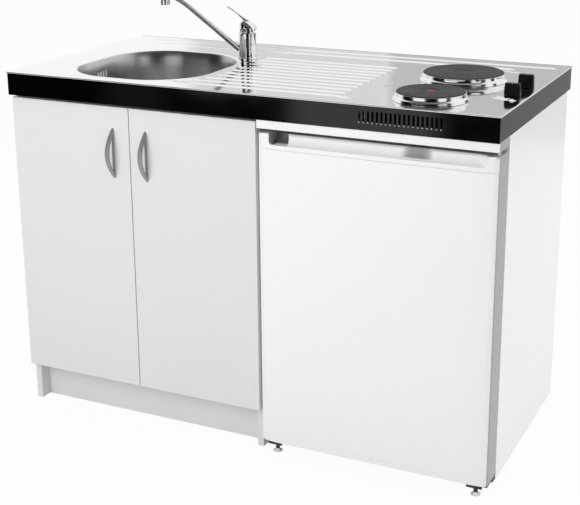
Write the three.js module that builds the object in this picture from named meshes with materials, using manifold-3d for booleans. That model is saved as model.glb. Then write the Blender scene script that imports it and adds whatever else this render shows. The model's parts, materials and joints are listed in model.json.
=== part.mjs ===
// A 1.2 m kitchenette: a pressed steel worktop with a sink bowl, drainer and two cast hotplates
// in a black frame, carried by a two-door sink cabinet on the left and a small refrigerator
// on the right. Millimetres, +Z up, front facing -Y. The pieces are placed in a work frame
// whose corner is the floor point under the worktop's front left corner; the last group
// shifts that frame so that the origin lies on the floor, under the middle of the whole unit.
import * as THREE from "three";
import { mergeVertices } from "three/addons/utils/BufferGeometryUtils.js";
import Module from "manifold-3d";

const wasm = await Module();
wasm.setup();

// ---------------------------------------------------------------- driving dimensions
const FIT = 0.3; // gap between seated pieces
const TURN_FIT = 0.5; // radial gap round a pin or shaft that turns

// Worktop
const TOP_WIDTH = 1200;
const TOP_DEPTH = 600;
const TOP_HEIGHT = 850;
const FRAME_HEIGHT = 55;
const FRAME_SKIN = 2;
const FRAME_FLANGE = 14;
const SHEET = 1.2;
const LIP_DROP = 2.4;

// Sink bowl and drainer
const BOWL_X = 278;
const BOWL_Y = 231;
const BOWL_WIDTH = 346;
const BOWL_LENGTH = 378;
const BOWL_CORNER = 140;
const BOWL_DEPTH = 150;
const WASTE_HOLE_RADIUS = 45;
const WASTE_FLANGE_RADIUS = 56;
const WASTE_CUP_DEPTH = 44;
const WASTE_TAIL_LENGTH = 34;
const WASTE_BORE_RADIUS = 18;
const WASTE_WALL = 2;
const TRAP_OUTLET_DROP = 84;
const TRAP_LENGTH = 190;
const TRAP_RADIUS = 34;
const TRAP_FOOT_RADIUS = 26;
const TRAP_FOOT_HEIGHT = 18;
const TRAP_NECK_RADIUS = 18;
const TRAP_SHOULDER_DROP = 66;
const TRAP_NECK_DROP = 58;
const TRAP_NUT_RADIUS = 27;
const TRAP_NUT_DROP = 22;
const TRAP_NUT_RISE = 16;
const OUTLET_PAST_BACK = 8;
const OUTLET_BORE_LENGTH = 80;
const OVERFLOW_SLOTS = 4;
const OVERFLOW_SLOT_WIDTH = 5;
const OVERFLOW_SLOT_HEIGHT = 16;
const OVERFLOW_SLOT_PITCH = 11;
const OVERFLOW_DROP = 30;
const OVERFLOW_PIPE_RADIUS = 9;
const OUTLET_RADIUS = 16;
const RIDGE_COUNT = 11;
const RIDGE_PITCH = 35;
const RIDGE_WIDTH = 14;
const RIDGE_HEIGHT = 2.5;
const RIDGE_FROM_BOWL = 26;
const RIDGE_FROM_TAP = 36;
const RIDGES_FROM_RIGHT = 368;
const RIDGE_FRONT_Y = 58;
const BACK_RIDGES = [
  { fromBack: 100, fromLeft: 90, fromRight: 110 },
  { fromBack: 52, fromLeft: 70, fromRight: 25 },
];

// Tap, in its own frame: on the deck, spout along +X
const TAP_X = 442;
const TAP_Y = 385;
const TAP_TURN_DEG = 214;
const TAP_BODY_RADIUS = 21.5;
const TAP_BODY_HEIGHT = 64;
const TAP_WAIST_RADIUS = 17;
const TAP_SHANK_RADIUS = 16;
const TAP_SHANK_LENGTH = 60;
const TAP_NUT_RADIUS = 27;
const TAP_NUT_THICK = 8;
const SPOUT_COLLAR_BOTTOM = 9;
const SPOUT_COLLAR_HEIGHT = 28;
const SPOUT_COLLAR_WALL = 5;
const SPOUT_TUBE_RADIUS = 8;
const SPOUT_REACH = 199;
const SPOUT_RISE = 158;
const AERATOR_RADIUS = 12;
const AERATOR_HEIGHT = 12;
const SPOUT_OUTLET_DROP = 7;
const CARTRIDGE_RADIUS = 14;
const CARTRIDGE_DEPTH = 24;
const LEVER_PIVOT_HEIGHT = 71;
const LEVER_DOME_RADIUS = 18;
const LEVER_DOME_FIT = 0.8;
const LEVER_HOOD_RADIUS = 22;
const LEVER_HOOD_BOTTOM = 74.3;
const LEVER_HOOD_TOP = 94;
const LEVER_REACH = 50;
const LEVER_TIP_HEIGHT = 130;
const LEVER_BLADE_WIDTH = 17;

// Hob
const FRONT_PLATE = { fromRight: 182, y: 104, radius: 72.5 };
const REAR_PLATE = { fromRight: 186, y: 338, radius: 90 };
const HOTPLATE_RISE = 19;
const HOTPLATE_RIM = 9;
const HOTPLATE_RECESS_RADIUS = 21;
const RING_FLARE = 9;
const RING_SHELF = 14;
const KNOB_FROM_RIGHT = 35;
const KNOB_Y = { front: 203, rear: 311 };
const KNOB_RADIUS = 18;
const KNOB_HEIGHT = 28;
const SWITCH_SHAFT_RADIUS = 3;
const SWITCH_BOX_WIDTH = 30;
const SWITCH_BOX_HEIGHT = 24;
const PAN_FROM_RIGHT = 295;
const PAN_SHEET = 1.5;
const PAN_FLOOR_GAP = 5;
const VENT_COUNT = 19;
const VENT_PITCH = 9.9;
const VENT_WIDTH = 4.6;
const VENT_HEIGHT = 25;
const VENT_DROP = 14;
const VENTS_FROM_RIGHT = 303.5;

// Sink cabinet
const CABINET_LEFT = 2;
const CABINET_FRIDGE_GAP = 12;
const BOARD = 16;
const CABINET_FRONT_Y = 33;
const CABINET_BACK_INSET = 15;
const BACK_BOARD = 3;
const BACK_BOARD_INSET = 10;
const PLINTH_HEIGHT = 100;
const PLINTH_SETBACK = 31;
const RAIL_HEIGHT = 60;
const DOOR_THICK = 18;
const DOOR_GAP = 2;
const DOOR_EDGE_INSET = 1;
const DOOR_TOP_DROP = 7;
const DOOR_BACK_GAP = 2;
const HANDLE_LENGTH = 119;
const HANDLE_REACH = 30;
const HANDLE_BAR = 7;
const HANDLE_WIDTH = 12;
const HANDLE_TIP_WIDTH = 7;
const HANDLE_FROM_EDGE = 43;
const HANDLE_DROP = 50;
const HANDLE_RAIL_WIDTH = 5;
const HANDLE_RAIL_THICK = 3;
const HINGE_CUP_RADIUS = 17.5;
const HINGE_CUP_WALL = 1.5;
const HINGE_CUP_DEPTH = 12;
const HINGE_CUP_FROM_EDGE = 22;
const HINGE_END_DISTANCE = 90;
const HINGE_ARM_LENGTH = 62;
const HINGE_ARM_HEIGHT = 18;
const HINGE_ARM_THICK = 12;

// Refrigerator
const FRIDGE_SIDE_INSET = 1;
const FRIDGE_WIDTH = 535;
const FRIDGE_BACK_INSET = 33;
const FRIDGE_FRONT_Y = 3;
const FRIDGE_DOOR_THICK = 64;
const GASKET_THICK = 8;
const GASKET_WIDTH = 12;
const GASKET_INSET = 8;
const FRIDGE_FLOOR_GAP = 18;
const FRIDGE_WALL = 38;
const FRIDGE_TOP_WALL = 51;
const FRIDGE_SKIN = 1.2;
const DOOR_RETURN = 30;
const DOOR_CORNER = 12;
const PIN_BOSS_RADIUS = 7.5;
const APRON_HEIGHT = 19;
const GRIP_SLOT = 10;
const TRIM_HEIGHT = 34;
const SCOOP_DEPTH = 18;
const SCOOP_HEIGHT = 24;
const SCOOP_INSET = 24;
const SCOOP_CORNER = 7;
const FRIDGE_DOOR_BOTTOM = 34;
const LINER_SHEET = 2;
const FRIDGE_BACK_WALL = 41.4;
const HUMP_HEIGHT = 170;
const HUMP_DEPTH = 130;
const NICHE_WALL = 26;
const HINGE_PIN_RADIUS = 3.5;
const HINGE_PIN_FROM_FRONT = 27;
const HINGE_PIN_LENGTH = 14;
const DIKE_OUTER_INSET = 44;
const DIKE_WIDTH = 20;
const DIKE_DEPTH = 16;
const DOOR_LINER_SHEET = 3;
const RACK_DEPTH = 92;
const RACK_HEIGHT = 85;
const RACK_HEIGHT_ABOVE_FLOOR = 255;
const RACK_WALL = 3;
const SHELF_SETBACK = 116;
const GLASS = 4;
const MID_SHELF_Z = 436;
const LEDGE = 5;
const DRAWER_WALL = 2.5;
const DRAWER_SIDE_GAP = 8;
const DRAWER_TRAVEL = 100;
const DRAWER_LIP = 8;
const ICEBOX_HEIGHT = 110;
const ICEBOX_SHEET = 1.5;
const ICEBOX_SIDE_GAP = 10;
const ICEBOX_SETBACK = 130;
const FLAP_THICK = 4;
const FLAP_PIN_RADIUS = 2.5;
const THERMOSTAT_RADIUS = 18;
const THERMOSTAT_THICK = 13;
const THERMOSTAT_SETBACK = 65;
const THERMOSTAT_Z = 590;
const BASE_RAIL_DEPTH = 16;
const BASE_RAIL_HEIGHT = 12;
const BASE_ARM_WIDTH = 36;
const BASE_ARM_THICK = 4;
const BASE_ARM_FRONT = 14;
const BASE_DOOR_GAP = 2;
const FOOT_RADIUS = 16;
const FOOT_STEM_RADIUS = 5;
const FOOT_INSET = { left: 26, right: 30 };
const COMPRESSOR_RADIUS = 58;
const COMPRESSOR_HEIGHT = 120;
const CONDENSER_TUBE_RADIUS = 2.5;
const CONDENSER_PASSES = 11;
const CONDENSER_PITCH = 48;
const CONDENSER_STANDOFF = 14;

// ---------------------------------------------------------------- places worked out from them
const FRAME_BOTTOM = TOP_HEIGHT - FRAME_HEIGHT;
const DECK_UNDER = TOP_HEIGHT - SHEET;
const FRAME_INSET = SHEET + FIT;
const BOWL_FLOOR = TOP_HEIGHT - BOWL_DEPTH;
const WASTE_CUP_FLOOR = BOWL_FLOOR - WASTE_CUP_DEPTH;
const WASTE_TAIL_END = WASTE_CUP_FLOOR - WASTE_TAIL_LENGTH;
const TRAP_OUTLET_Z = WASTE_TAIL_END - TRAP_OUTLET_DROP;

const RIDGE_RIGHT = TOP_WIDTH - RIDGES_FROM_RIGHT;
const HOTPLATES = {
  front: { ...FRONT_PLATE, x: TOP_WIDTH - FRONT_PLATE.fromRight },
  rear: { ...REAR_PLATE, x: TOP_WIDTH - REAR_PLATE.fromRight },
};
const KNOB_X = TOP_WIDTH - KNOB_FROM_RIGHT;
const PAN_LEFT = TOP_WIDTH - PAN_FROM_RIGHT;
const VENT_LEFT = TOP_WIDTH - VENTS_FROM_RIGHT;

const FRIDGE_RIGHT = TOP_WIDTH - FRIDGE_SIDE_INSET;
const FRIDGE_LEFT = FRIDGE_RIGHT - FRIDGE_WIDTH;
const FRIDGE_BACK_Y = TOP_DEPTH - FRIDGE_BACK_INSET;
const CABINET_RIGHT = FRIDGE_LEFT - CABINET_FRIDGE_GAP;
const CABINET_WIDTH = CABINET_RIGHT - CABINET_LEFT;
const CABINET_BACK_Y = TOP_DEPTH - CABINET_BACK_INSET;
const CABINET_TOP = FRAME_BOTTOM - FIT;
const INSIDE_LEFT = CABINET_LEFT + BOARD + FIT;
const INSIDE_RIGHT = CABINET_RIGHT - BOARD - FIT;
const DOOR_BACK_Y = CABINET_FRONT_Y - DOOR_BACK_GAP;
const DOOR_FRONT_Y = DOOR_BACK_Y - DOOR_THICK;
const DOOR_BOTTOM = PLINTH_HEIGHT;
const DOOR_TOP = FRAME_BOTTOM - DOOR_TOP_DROP;
const DOOR_WIDTH = (CABINET_WIDTH - 2 * DOOR_EDGE_INSET - DOOR_GAP) / 2;
const HINGE_HEIGHTS = {
  lower: DOOR_BOTTOM + HINGE_END_DISTANCE,
  upper: DOOR_TOP - HINGE_END_DISTANCE,
};
const UNIT_FRONT_Y = DOOR_FRONT_Y - HANDLE_REACH;

const FRIDGE_TOP = FRAME_BOTTOM - FIT;
const FRIDGE_DOOR_BACK_Y = FRIDGE_FRONT_Y + FRIDGE_DOOR_THICK;
const FRIDGE_BODY_Y = FRIDGE_DOOR_BACK_Y + GASKET_THICK + 2 * FIT;
const APRON_BOTTOM = FRIDGE_TOP - APRON_HEIGHT;
const TRIM_TOP = APRON_BOTTOM - GRIP_SLOT;
const TRIM_BOTTOM = TRIM_TOP - TRIM_HEIGHT;
const HINGE_X = FRIDGE_RIGHT - GASKET_INSET;
const HINGE_Y = FRIDGE_FRONT_Y + HINGE_PIN_FROM_FRONT;
const CAVITY = {
  left: FRIDGE_LEFT + FRIDGE_WALL,
  right: FRIDGE_RIGHT - FRIDGE_WALL,
  bottom: FRIDGE_FLOOR_GAP + FRIDGE_WALL,
  top: FRIDGE_TOP - FRIDGE_TOP_WALL,
  back: FRIDGE_BACK_Y - FRIDGE_BACK_WALL,
};
const INNER = {
  left: CAVITY.left + FIT + LINER_SHEET,
  right: CAVITY.right - FIT - LINER_SHEET,
  bottom: CAVITY.bottom + FIT + LINER_SHEET,
  top: CAVITY.top - FIT - LINER_SHEET,
  back: CAVITY.back - FIT - LINER_SHEET,
};
const HUMP_TOP = CAVITY.bottom + HUMP_HEIGHT;
const HUMP_FRONT = CAVITY.back - HUMP_DEPTH;
const SHELF_FRONT_Y = FRIDGE_BODY_Y + SHELF_SETBACK;
const ICEBOX_FRONT_Y = FRIDGE_BODY_Y + ICEBOX_SETBACK;

// ---------------------------------------------------------------- materials
const FINISHES = {
  whiteBoard: { color: 0xe6e6e4, roughness: 0.45, metalness: 0 },
  hardboard: { color: 0xd9d6cf, roughness: 0.8, metalness: 0 },
  brushedSteel: { color: 0xb9babb, roughness: 0.3, metalness: 1 },
  blackGloss: { color: 0x0b0b0c, roughness: 0.2, metalness: 0 },
  chrome: { color: 0xd8d8da, roughness: 0.08, metalness: 1 },
  satinNickel: { color: 0x9c9b98, roughness: 0.35, metalness: 1 },
  castIron: { color: 0x2b2b2c, roughness: 0.75, metalness: 0.3 },
  blackPlastic: { color: 0x101010, roughness: 0.35, metalness: 0 },
  galvanised: { color: 0x9a9c9e, roughness: 0.5, metalness: 1 },
  whiteEnamel: { color: 0xeeeeee, roughness: 0.25, metalness: 0 },
  whitePlastic: { color: 0xf0f0ee, roughness: 0.3, metalness: 0 },
  rubber: { color: 0x55575a, roughness: 0.8, metalness: 0 },
  clearPlastic: { color: 0xcfdde0, roughness: 0.15, metalness: 0 },
  glass: { color: 0xc9dcd6, roughness: 0.05, metalness: 0 },
  aluminium: { color: 0xc4c6c8, roughness: 0.35, metalness: 1 },
  blackSteel: { color: 0x171718, roughness: 0.5, metalness: 0.6 },
};

// ---------------------------------------------------------------- shape helpers
function solidFrom(geometry) {
  const bare = geometry.clone();
  bare.deleteAttribute("normal");
  bare.deleteAttribute("uv");
  const merged = mergeVertices(bare, 1e-4);
  const solid = new wasm.Manifold(
    new wasm.Mesh({
      numProp: 3,
      vertProperties: merged.attributes.position.array,
      triVerts: new Uint32Array(merged.index.array),
    }),
  );
  if (solid.volume() < 0) throw new Error("a shape was built inside out");
  return solid;
}

function box(x0, x1, y0, y1, z0, z1) {
  const geometry = new THREE.BoxGeometry(x1 - x0, y1 - y0, z1 - z0);
  return solidFrom(geometry.translate((x0 + x1) / 2, (y0 + y1) / 2, (z0 + z1) / 2));
}

// A solid of revolution about the Z line through (x, y), from [radius, height] pairs that
// run counterclockwise.
function lathe(profile, { x = 0, y = 0, segments = 24 } = {}) {
  const points = profile.map(([radius, height]) => new THREE.Vector2(radius, height));
  const geometry = new THREE.LatheGeometry(points, segments).rotateX(Math.PI / 2);
  return solidFrom(geometry.translate(x, y, 0));
}

function rodX(y, z, radius, x0, x1, segments = 16) {
  const geometry = new THREE.CylinderGeometry(radius, radius, x1 - x0, segments);
  return solidFrom(geometry.rotateZ(-Math.PI / 2).translate((x0 + x1) / 2, y, z));
}

function rodY(x, z, radius, y0, y1, segments = 20) {
  const geometry = new THREE.CylinderGeometry(radius, radius, y1 - y0, segments);
  return solidFrom(geometry.translate(x, (y0 + y1) / 2, z));
}

function rodZ(x, y, radius, z0, z1, segments = 20) {
  const geometry = new THREE.CylinderGeometry(radius, radius, z1 - z0, segments);
  return solidFrom(geometry.rotateX(Math.PI / 2).translate(x, y, (z0 + z1) / 2));
}

// The upper part of a circle about the origin as [radius, height] pairs, from a height up.
function meridian(radius, fromHeight, toHeight, steps) {
  const from = Math.asin(fromHeight / radius);
  const to = Math.asin(toHeight / radius);
  return Array.from({ length: steps + 1 }, (_, i) => {
    const angle = from + ((to - from) * i) / steps;
    return [i === steps ? 0 : radius * Math.cos(angle), radius * Math.sin(angle)];
  });
}

function extruded(outline, depth) {
  const shape = new THREE.Shape(outline.map(([u, v]) => new THREE.Vector2(u, v)));
  return new THREE.ExtrudeGeometry(shape, { depth, bevelEnabled: false });
}

// Prisms along each axis; their outlines are [y, z], [x, z] and [x, y] pairs.
function prismX(outline, x0, x1) {
  const geometry = extruded(outline, x1 - x0).rotateX(Math.PI / 2).rotateZ(Math.PI / 2);
  return solidFrom(geometry.translate(x0, 0, 0));
}

function prismY(outline, y0, y1) {
  return solidFrom(extruded(outline, y1 - y0).rotateX(Math.PI / 2).translate(0, y1, 0));
}

function prismZ(outline, z0, z1) {
  return solidFrom(extruded(outline, z1 - z0).translate(0, 0, z0));
}

function arc(cx, cy, radius, fromDeg, toDeg, steps = 5) {
  return Array.from({ length: steps + 1 }, (_, i) => {
    const angle = THREE.MathUtils.degToRad(fromDeg + ((toDeg - fromDeg) * i) / steps);
    return [cx + radius * Math.cos(angle), cy + radius * Math.sin(angle)];
  });
}

function joined(solids) {
  return solids.reduce((sum, solid) => sum.add(solid));
}

// A rectangle with round corners, counterclockwise from its right side.
function roundedRectangle(cx, cy, halfX, halfY, radius, stepsPerCorner) {
  const corners = [[1, 1], [-1, 1], [-1, -1], [1, -1]];
  return corners.flatMap(([sx, sy], quarter) => {
    const x = cx + sx * (halfX - radius);
    const y = cy + sy * (halfY - radius);
    return arc(x, y, radius, quarter * 90, (quarter + 1) * 90, stepsPerCorner);
  });
}

// A closed solid through rings of [x, y, z] points, lowest ring first, each counterclockwise.
function loft(rings) {
  const count = rings[0].length;
  const positions = rings.flat(2);
  const index = [];
  for (let r = 0; r + 1 < rings.length; r++) {
    for (let i = 0; i < count; i++) {
      const a = r * count + i;
      const b = r * count + ((i + 1) % count);
      index.push(a, b, b + count, a, b + count, a + count);
    }
  }
  [rings[0], rings.at(-1)].forEach((ring, isTop) => {
    const first = isTop ? (rings.length - 1) * count : 0;
    const centre = positions.length / 3;
    const middle = [0, 1, 2].map((k) => ring.reduce((sum, p) => sum + p[k], 0) / count);
    positions.push(...middle);
    for (let i = 0; i < count; i++) {
      const a = first + i;
      const b = first + ((i + 1) % count);
      index.push(...(isTop ? [a, b, centre] : [b, a, centre]));
    }
  });
  const geometry = new THREE.BufferGeometry();
  geometry.setAttribute("position", new THREE.Float32BufferAttribute(positions, 3));
  geometry.setIndex(index);
  return solidFrom(geometry);
}

// A tube of changing radius along points that lie in one plane with the given normal.
function sweep(path, radii, planeNormal, sides = 12) {
  const across = planeNormal.clone().normalize();
  const rings = path.map((point, i) => {
    const before = path[Math.max(i - 1, 0)];
    const after = path[Math.min(i + 1, path.length - 1)];
    const along = after.clone().sub(before).normalize();
    const side = new THREE.Vector3().crossVectors(along, across);
    const ring = [];
    for (let k = 0; k < sides; k++) {
      const angle = (2 * Math.PI * k) / sides;
      const offset = across.clone().multiplyScalar(-radii[i] * Math.sin(angle));
      offset.addScaledVector(side, radii[i] * Math.cos(angle));
      ring.push(point.clone().add(offset).toArray());
    }
    return ring;
  });
  return loft(rings);
}

const PIECE_PARENTS = { unit: new THREE.Group(), tap: new THREE.Group() };

function piece(name, finish, solid, parent = PIECE_PARENTS.unit) {
  const made = solid.getMesh();
  const geometry = new THREE.BufferGeometry();
  geometry.setAttribute("position", new THREE.BufferAttribute(made.vertProperties, 3));
  geometry.setIndex(new THREE.BufferAttribute(made.triVerts, 1));
  const flat = geometry.toNonIndexed();
  flat.computeVertexNormals();
  const mesh = new THREE.Mesh(flat, new THREE.MeshStandardMaterial(FINISHES[finish]));
  mesh.name = name;
  parent.add(mesh);
  return mesh;
}

// ---------------------------------------------------------------- worktop frame
// A C profile along X with its outer face at y = 0; its mitred ends clear the neighbours.
function frameRail(length) {
  const low = FRAME_BOTTOM;
  const high = DECK_UNDER - FIT;
  const outline = [
    [0, low],
    [FRAME_FLANGE, low],
    [FRAME_FLANGE, low + FRAME_SKIN],
    [FRAME_SKIN, low + FRAME_SKIN],
    [FRAME_SKIN, high - FRAME_SKIN],
    [FRAME_FLANGE, high - FRAME_SKIN],
    [FRAME_FLANGE, high],
    [0, high],
  ];
  const over = FRAME_FLANGE + 1;
  const plan = [
    [FIT, 0],
    [length - FIT, 0],
    [length - FIT - over, over],
    [FIT + over, over],
  ];
  return prismX(outline, 0, length).intersect(prismZ(plan, low - 1, high + 1));
}

function makeFrame() {
  const alongX = TOP_WIDTH - 2 * FRAME_INSET;
  const alongY = TOP_DEPTH - 2 * FRAME_INSET;
  const right = TOP_WIDTH - FRAME_INSET;
  const back = TOP_DEPTH - FRAME_INSET;
  let front = frameRail(alongX);
  const ventTop = TOP_HEIGHT - VENT_DROP;
  for (let i = 0; i < VENT_COUNT; i++) {
    const x = VENT_LEFT - FRAME_INSET + i * VENT_PITCH;
    const through = FRAME_SKIN + 1;
    front = front.subtract(box(x, x + VENT_WIDTH, -1, through, ventTop - VENT_HEIGHT, ventTop));
  }
  const rails = [
    ["front_fascia", front, FRAME_INSET, FRAME_INSET, 0],
    ["right_fascia", frameRail(alongY), right, FRAME_INSET, 90],
    ["back_fascia", frameRail(alongX), right, back, 180],
    ["left_fascia", frameRail(alongY), FRAME_INSET, back, 270],
  ];
  for (const [name, solid, x, y, turn] of rails) {
    const rail = piece(name, "blackGloss", solid);
    rail.position.set(x, y, 0);
    rail.rotation.z = THREE.MathUtils.degToRad(turn);
  }
}

// ---------------------------------------------------------------- steel top with its bowl
// Depth below the deck and inward step of the bowl's wall, from the rim to the floor.
const BOWL_WALL_STEPS = [
  [0, 0],
  [0.03, 3],
  [0.1, 7],
  [0.6, 15],
  [0.84, 24],
  [0.94, 36],
  [1, 56],
];

function bowlRings(grow, deeper) {
  return BOWL_WALL_STEPS.map(([share, step]) => {
    const inward = step - grow;
    const z = TOP_HEIGHT - share * BOWL_DEPTH - deeper;
    const outline = roundedRectangle(
      BOWL_X,
      BOWL_Y,
      BOWL_WIDTH / 2 - inward,
      BOWL_LENGTH / 2 - inward,
      BOWL_CORNER - inward,
      6,
    );
    return outline.map(([x, y]) => [x, y, z]);
  }).reverse();
}

function ridge(y, x0, x1) {
  const base = RIDGE_WIDTH / 2;
  const crest = RIDGE_WIDTH / 5;
  const low = TOP_HEIGHT - SHEET / 2;
  const high = TOP_HEIGHT + RIDGE_HEIGHT;
  return loft([
    [[x0, y - base, low], [x1, y - base, low], [x1, y + base, low], [x0, y + base, low]],
    [
      [x0 + base, y - crest, high],
      [x1 - base, y - crest, high],
      [x1 - base, y + crest, high],
      [x0 + base, y + crest, high],
    ],
  ]);
}

// Each drainer ridge starts a little way from the bowl's rim, or from the tap's foot.
function ridgeLeftEnd(y) {
  const straight = BOWL_LENGTH / 2 - BOWL_CORNER;
  const past = Math.min(Math.max(Math.abs(y - BOWL_Y) - straight, 0), BOWL_CORNER);
  const cornerReach = Math.sqrt(BOWL_CORNER ** 2 - past ** 2);
  const rim = BOWL_X + BOWL_WIDTH / 2 - BOWL_CORNER + cornerReach;
  const nearTap = Math.abs(y - TAP_Y) < RIDGE_FROM_TAP;
  return Math.max(rim + RIDGE_FROM_BOWL, nearTap ? TAP_X + RIDGE_FROM_TAP : 0);
}

function makeSteelTop() {
  const low = TOP_HEIGHT - LIP_DROP;
  const cover = box(0, TOP_WIDTH, 0, TOP_DEPTH, low, TOP_HEIGHT);
  const hollow = box(SHEET, TOP_WIDTH - SHEET, SHEET, TOP_DEPTH - SHEET, low - 1, DECK_UNDER);
  const ridges = [];
  for (let i = 0; i < RIDGE_COUNT; i++) {
    const y = RIDGE_FRONT_Y + i * RIDGE_PITCH;
    ridges.push(ridge(y, ridgeLeftEnd(y), RIDGE_RIGHT));
  }
  for (const { fromBack, fromLeft, fromRight } of BACK_RIDGES) {
    ridges.push(ridge(TOP_DEPTH - fromBack, fromLeft, TOP_WIDTH - fromRight));
  }
  const inner = bowlRings(0, 0);
  inner.push(inner.at(-1).map(([x, y, z]) => [x, y, z + 5]));
  let top = cover.subtract(hollow).add(joined(ridges));
  top = top.add(loft(bowlRings(SHEET, SHEET))).subtract(loft(inner));
  const wasteHole = rodZ(BOWL_X, BOWL_Y, WASTE_HOLE_RADIUS, BOWL_FLOOR - 5, BOWL_FLOOR + 5, 24);
  top = top.subtract(wasteHole);
  for (let i = 0; i < OVERFLOW_SLOTS; i++) {
    const y = BOWL_Y + (i - (OVERFLOW_SLOTS - 1) / 2) * OVERFLOW_SLOT_PITCH;
    const z = TOP_HEIGHT - OVERFLOW_DROP;
    const x = BOWL_X - BOWL_WIDTH / 2;
    const half = OVERFLOW_SLOT_WIDTH / 2;
    top = top.subtract(box(x - 5, x + 30, y - half, y + half, z - OVERFLOW_SLOT_HEIGHT, z));
  }
  const holeEnds = [DECK_UNDER - 1, TOP_HEIGHT + 1];
  top = top.subtract(rodZ(TAP_X, TAP_Y, TAP_SHANK_RADIUS + 1.5, ...holeEnds));
  for (const { x, y, radius } of Object.values(HOTPLATES)) {
    top = top.subtract(rodZ(x, y, radius - RING_SHELF - 4, ...holeEnds, 32));
  }
  for (const y of Object.values(KNOB_Y)) {
    top = top.subtract(rodZ(KNOB_X, y, SWITCH_SHAFT_RADIUS + 2, ...holeEnds));
  }
  piece("steel_top", "brushedSteel", top);
}

// ---------------------------------------------------------------- sink waste
function makeWaste() {
  const sinkAxis = { x: BOWL_X, y: BOWL_Y };
  const cup = WASTE_HOLE_RADIUS - 1;
  const bore = WASTE_BORE_RADIUS;
  const wall = WASTE_WALL;
  const z = BOWL_FLOOR;
  const cupFloor = WASTE_CUP_FLOOR;
  const tailEnd = WASTE_TAIL_END;
  const fitting = lathe([
    [bore, tailEnd],
    [bore + wall, tailEnd],
    [bore + wall, cupFloor - wall],
    [cup, cupFloor - wall],
    [cup, z - FIT],
    [cup, z + FIT],
    [WASTE_FLANGE_RADIUS, z + FIT],
    [WASTE_FLANGE_RADIUS - 2, z + FIT + wall],
    [cup - wall, z + FIT + wall],
    [cup - wall, cupFloor],
    [bore, cupFloor],
    [bore, tailEnd],
  ], sinkAxis);
  piece("waste_fitting", "chrome", fitting);

  const basket = cup - wall - TURN_FIT;
  const seat = cupFloor + FIT;
  const plug = lathe([
    [0, seat],
    [bore + 6, seat],
    [basket, seat + 26],
    [basket, seat + 34],
    [basket - 2, seat + 34],
    [basket - 4, seat + 28],
    [14, seat + 10],
    [5, seat + 10],
    [5, seat + 30],
    [9, seat + 34],
    [8, seat + 38],
    [0, seat + 38],
  ], sinkAxis);
  piece("waste_plug", "chrome", plug);

  // The bottle trap screws on the tail and drains through the back board.
  const bottle = lathe([
    [0, tailEnd - TRAP_LENGTH],
    [TRAP_FOOT_RADIUS, tailEnd - TRAP_LENGTH + TRAP_FOOT_HEIGHT / 4],
    [TRAP_RADIUS, tailEnd - TRAP_LENGTH + TRAP_FOOT_HEIGHT],
    [TRAP_RADIUS, tailEnd - TRAP_SHOULDER_DROP],
    [TRAP_NECK_RADIUS, tailEnd - TRAP_NECK_DROP],
    [TRAP_NECK_RADIUS, tailEnd - TRAP_NUT_DROP],
    [TRAP_NUT_RADIUS, tailEnd - TRAP_NUT_DROP + 2],
    [TRAP_NUT_RADIUS, tailEnd + TRAP_NUT_RISE],
    [bore + wall + FIT, tailEnd + TRAP_NUT_RISE],
    [bore + wall + FIT, tailEnd - FIT],
    [0, tailEnd - FIT],
  ], sinkAxis);
  const outletZ = TRAP_OUTLET_Z;
  const outletEnd = CABINET_BACK_Y + OUTLET_PAST_BACK;
  const boreStart = outletEnd - OUTLET_BORE_LENGTH;
  const outlet = rodY(BOWL_X, outletZ, OUTLET_RADIUS, BOWL_Y, outletEnd);
  const outletBore = rodY(BOWL_X, outletZ, OUTLET_RADIUS - WASTE_WALL, boreStart, outletEnd + 1);
  piece("bottle_trap", "whitePlastic", bottle.add(outlet).subtract(outletBore));

  // The overflow pipe falls from a cap over the slots to the cup's side.
  const slotZ = TOP_HEIGHT - OVERFLOW_DROP - OVERFLOW_SLOT_HEIGHT / 2;
  const wallX = BOWL_X - BOWL_WIDTH / 2 - SHEET - FIT;
  const capX = wallX + 4;
  const drop = cupFloor + 18;
  const pipeX = wallX - 26;
  const cornerPoints = [
    [capX - 8, slotZ],
    [pipeX + 6, slotZ - 3],
    [pipeX, slotZ - 14],
    [pipeX, drop + 24],
    [pipeX + 8, drop + 7],
    [pipeX + 26, drop],
    [BOWL_X - cup - FIT, drop],
  ];
  const path = cornerPoints.map(([x, zed]) => new THREE.Vector3(x, BOWL_Y, zed));
  const pipe = sweep(path, path.map(() => OVERFLOW_PIPE_RADIUS), new THREE.Vector3(0, 1, 0));
  const capHalf = (OVERFLOW_SLOTS * OVERFLOW_SLOT_PITCH) / 2;
  const cap = box(
    wallX - 16,
    capX + 20,
    BOWL_Y - capHalf,
    BOWL_Y + capHalf,
    slotZ - OVERFLOW_SLOT_HEIGHT,
    slotZ + OVERFLOW_SLOT_HEIGHT / 2 + 4,
  );
  const bowlRoom = loft(bowlRings(SHEET + FIT, SHEET + FIT));
  piece("overflow_pipe", "whitePlastic", pipe.add(cap).subtract(bowlRoom));
}

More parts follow.
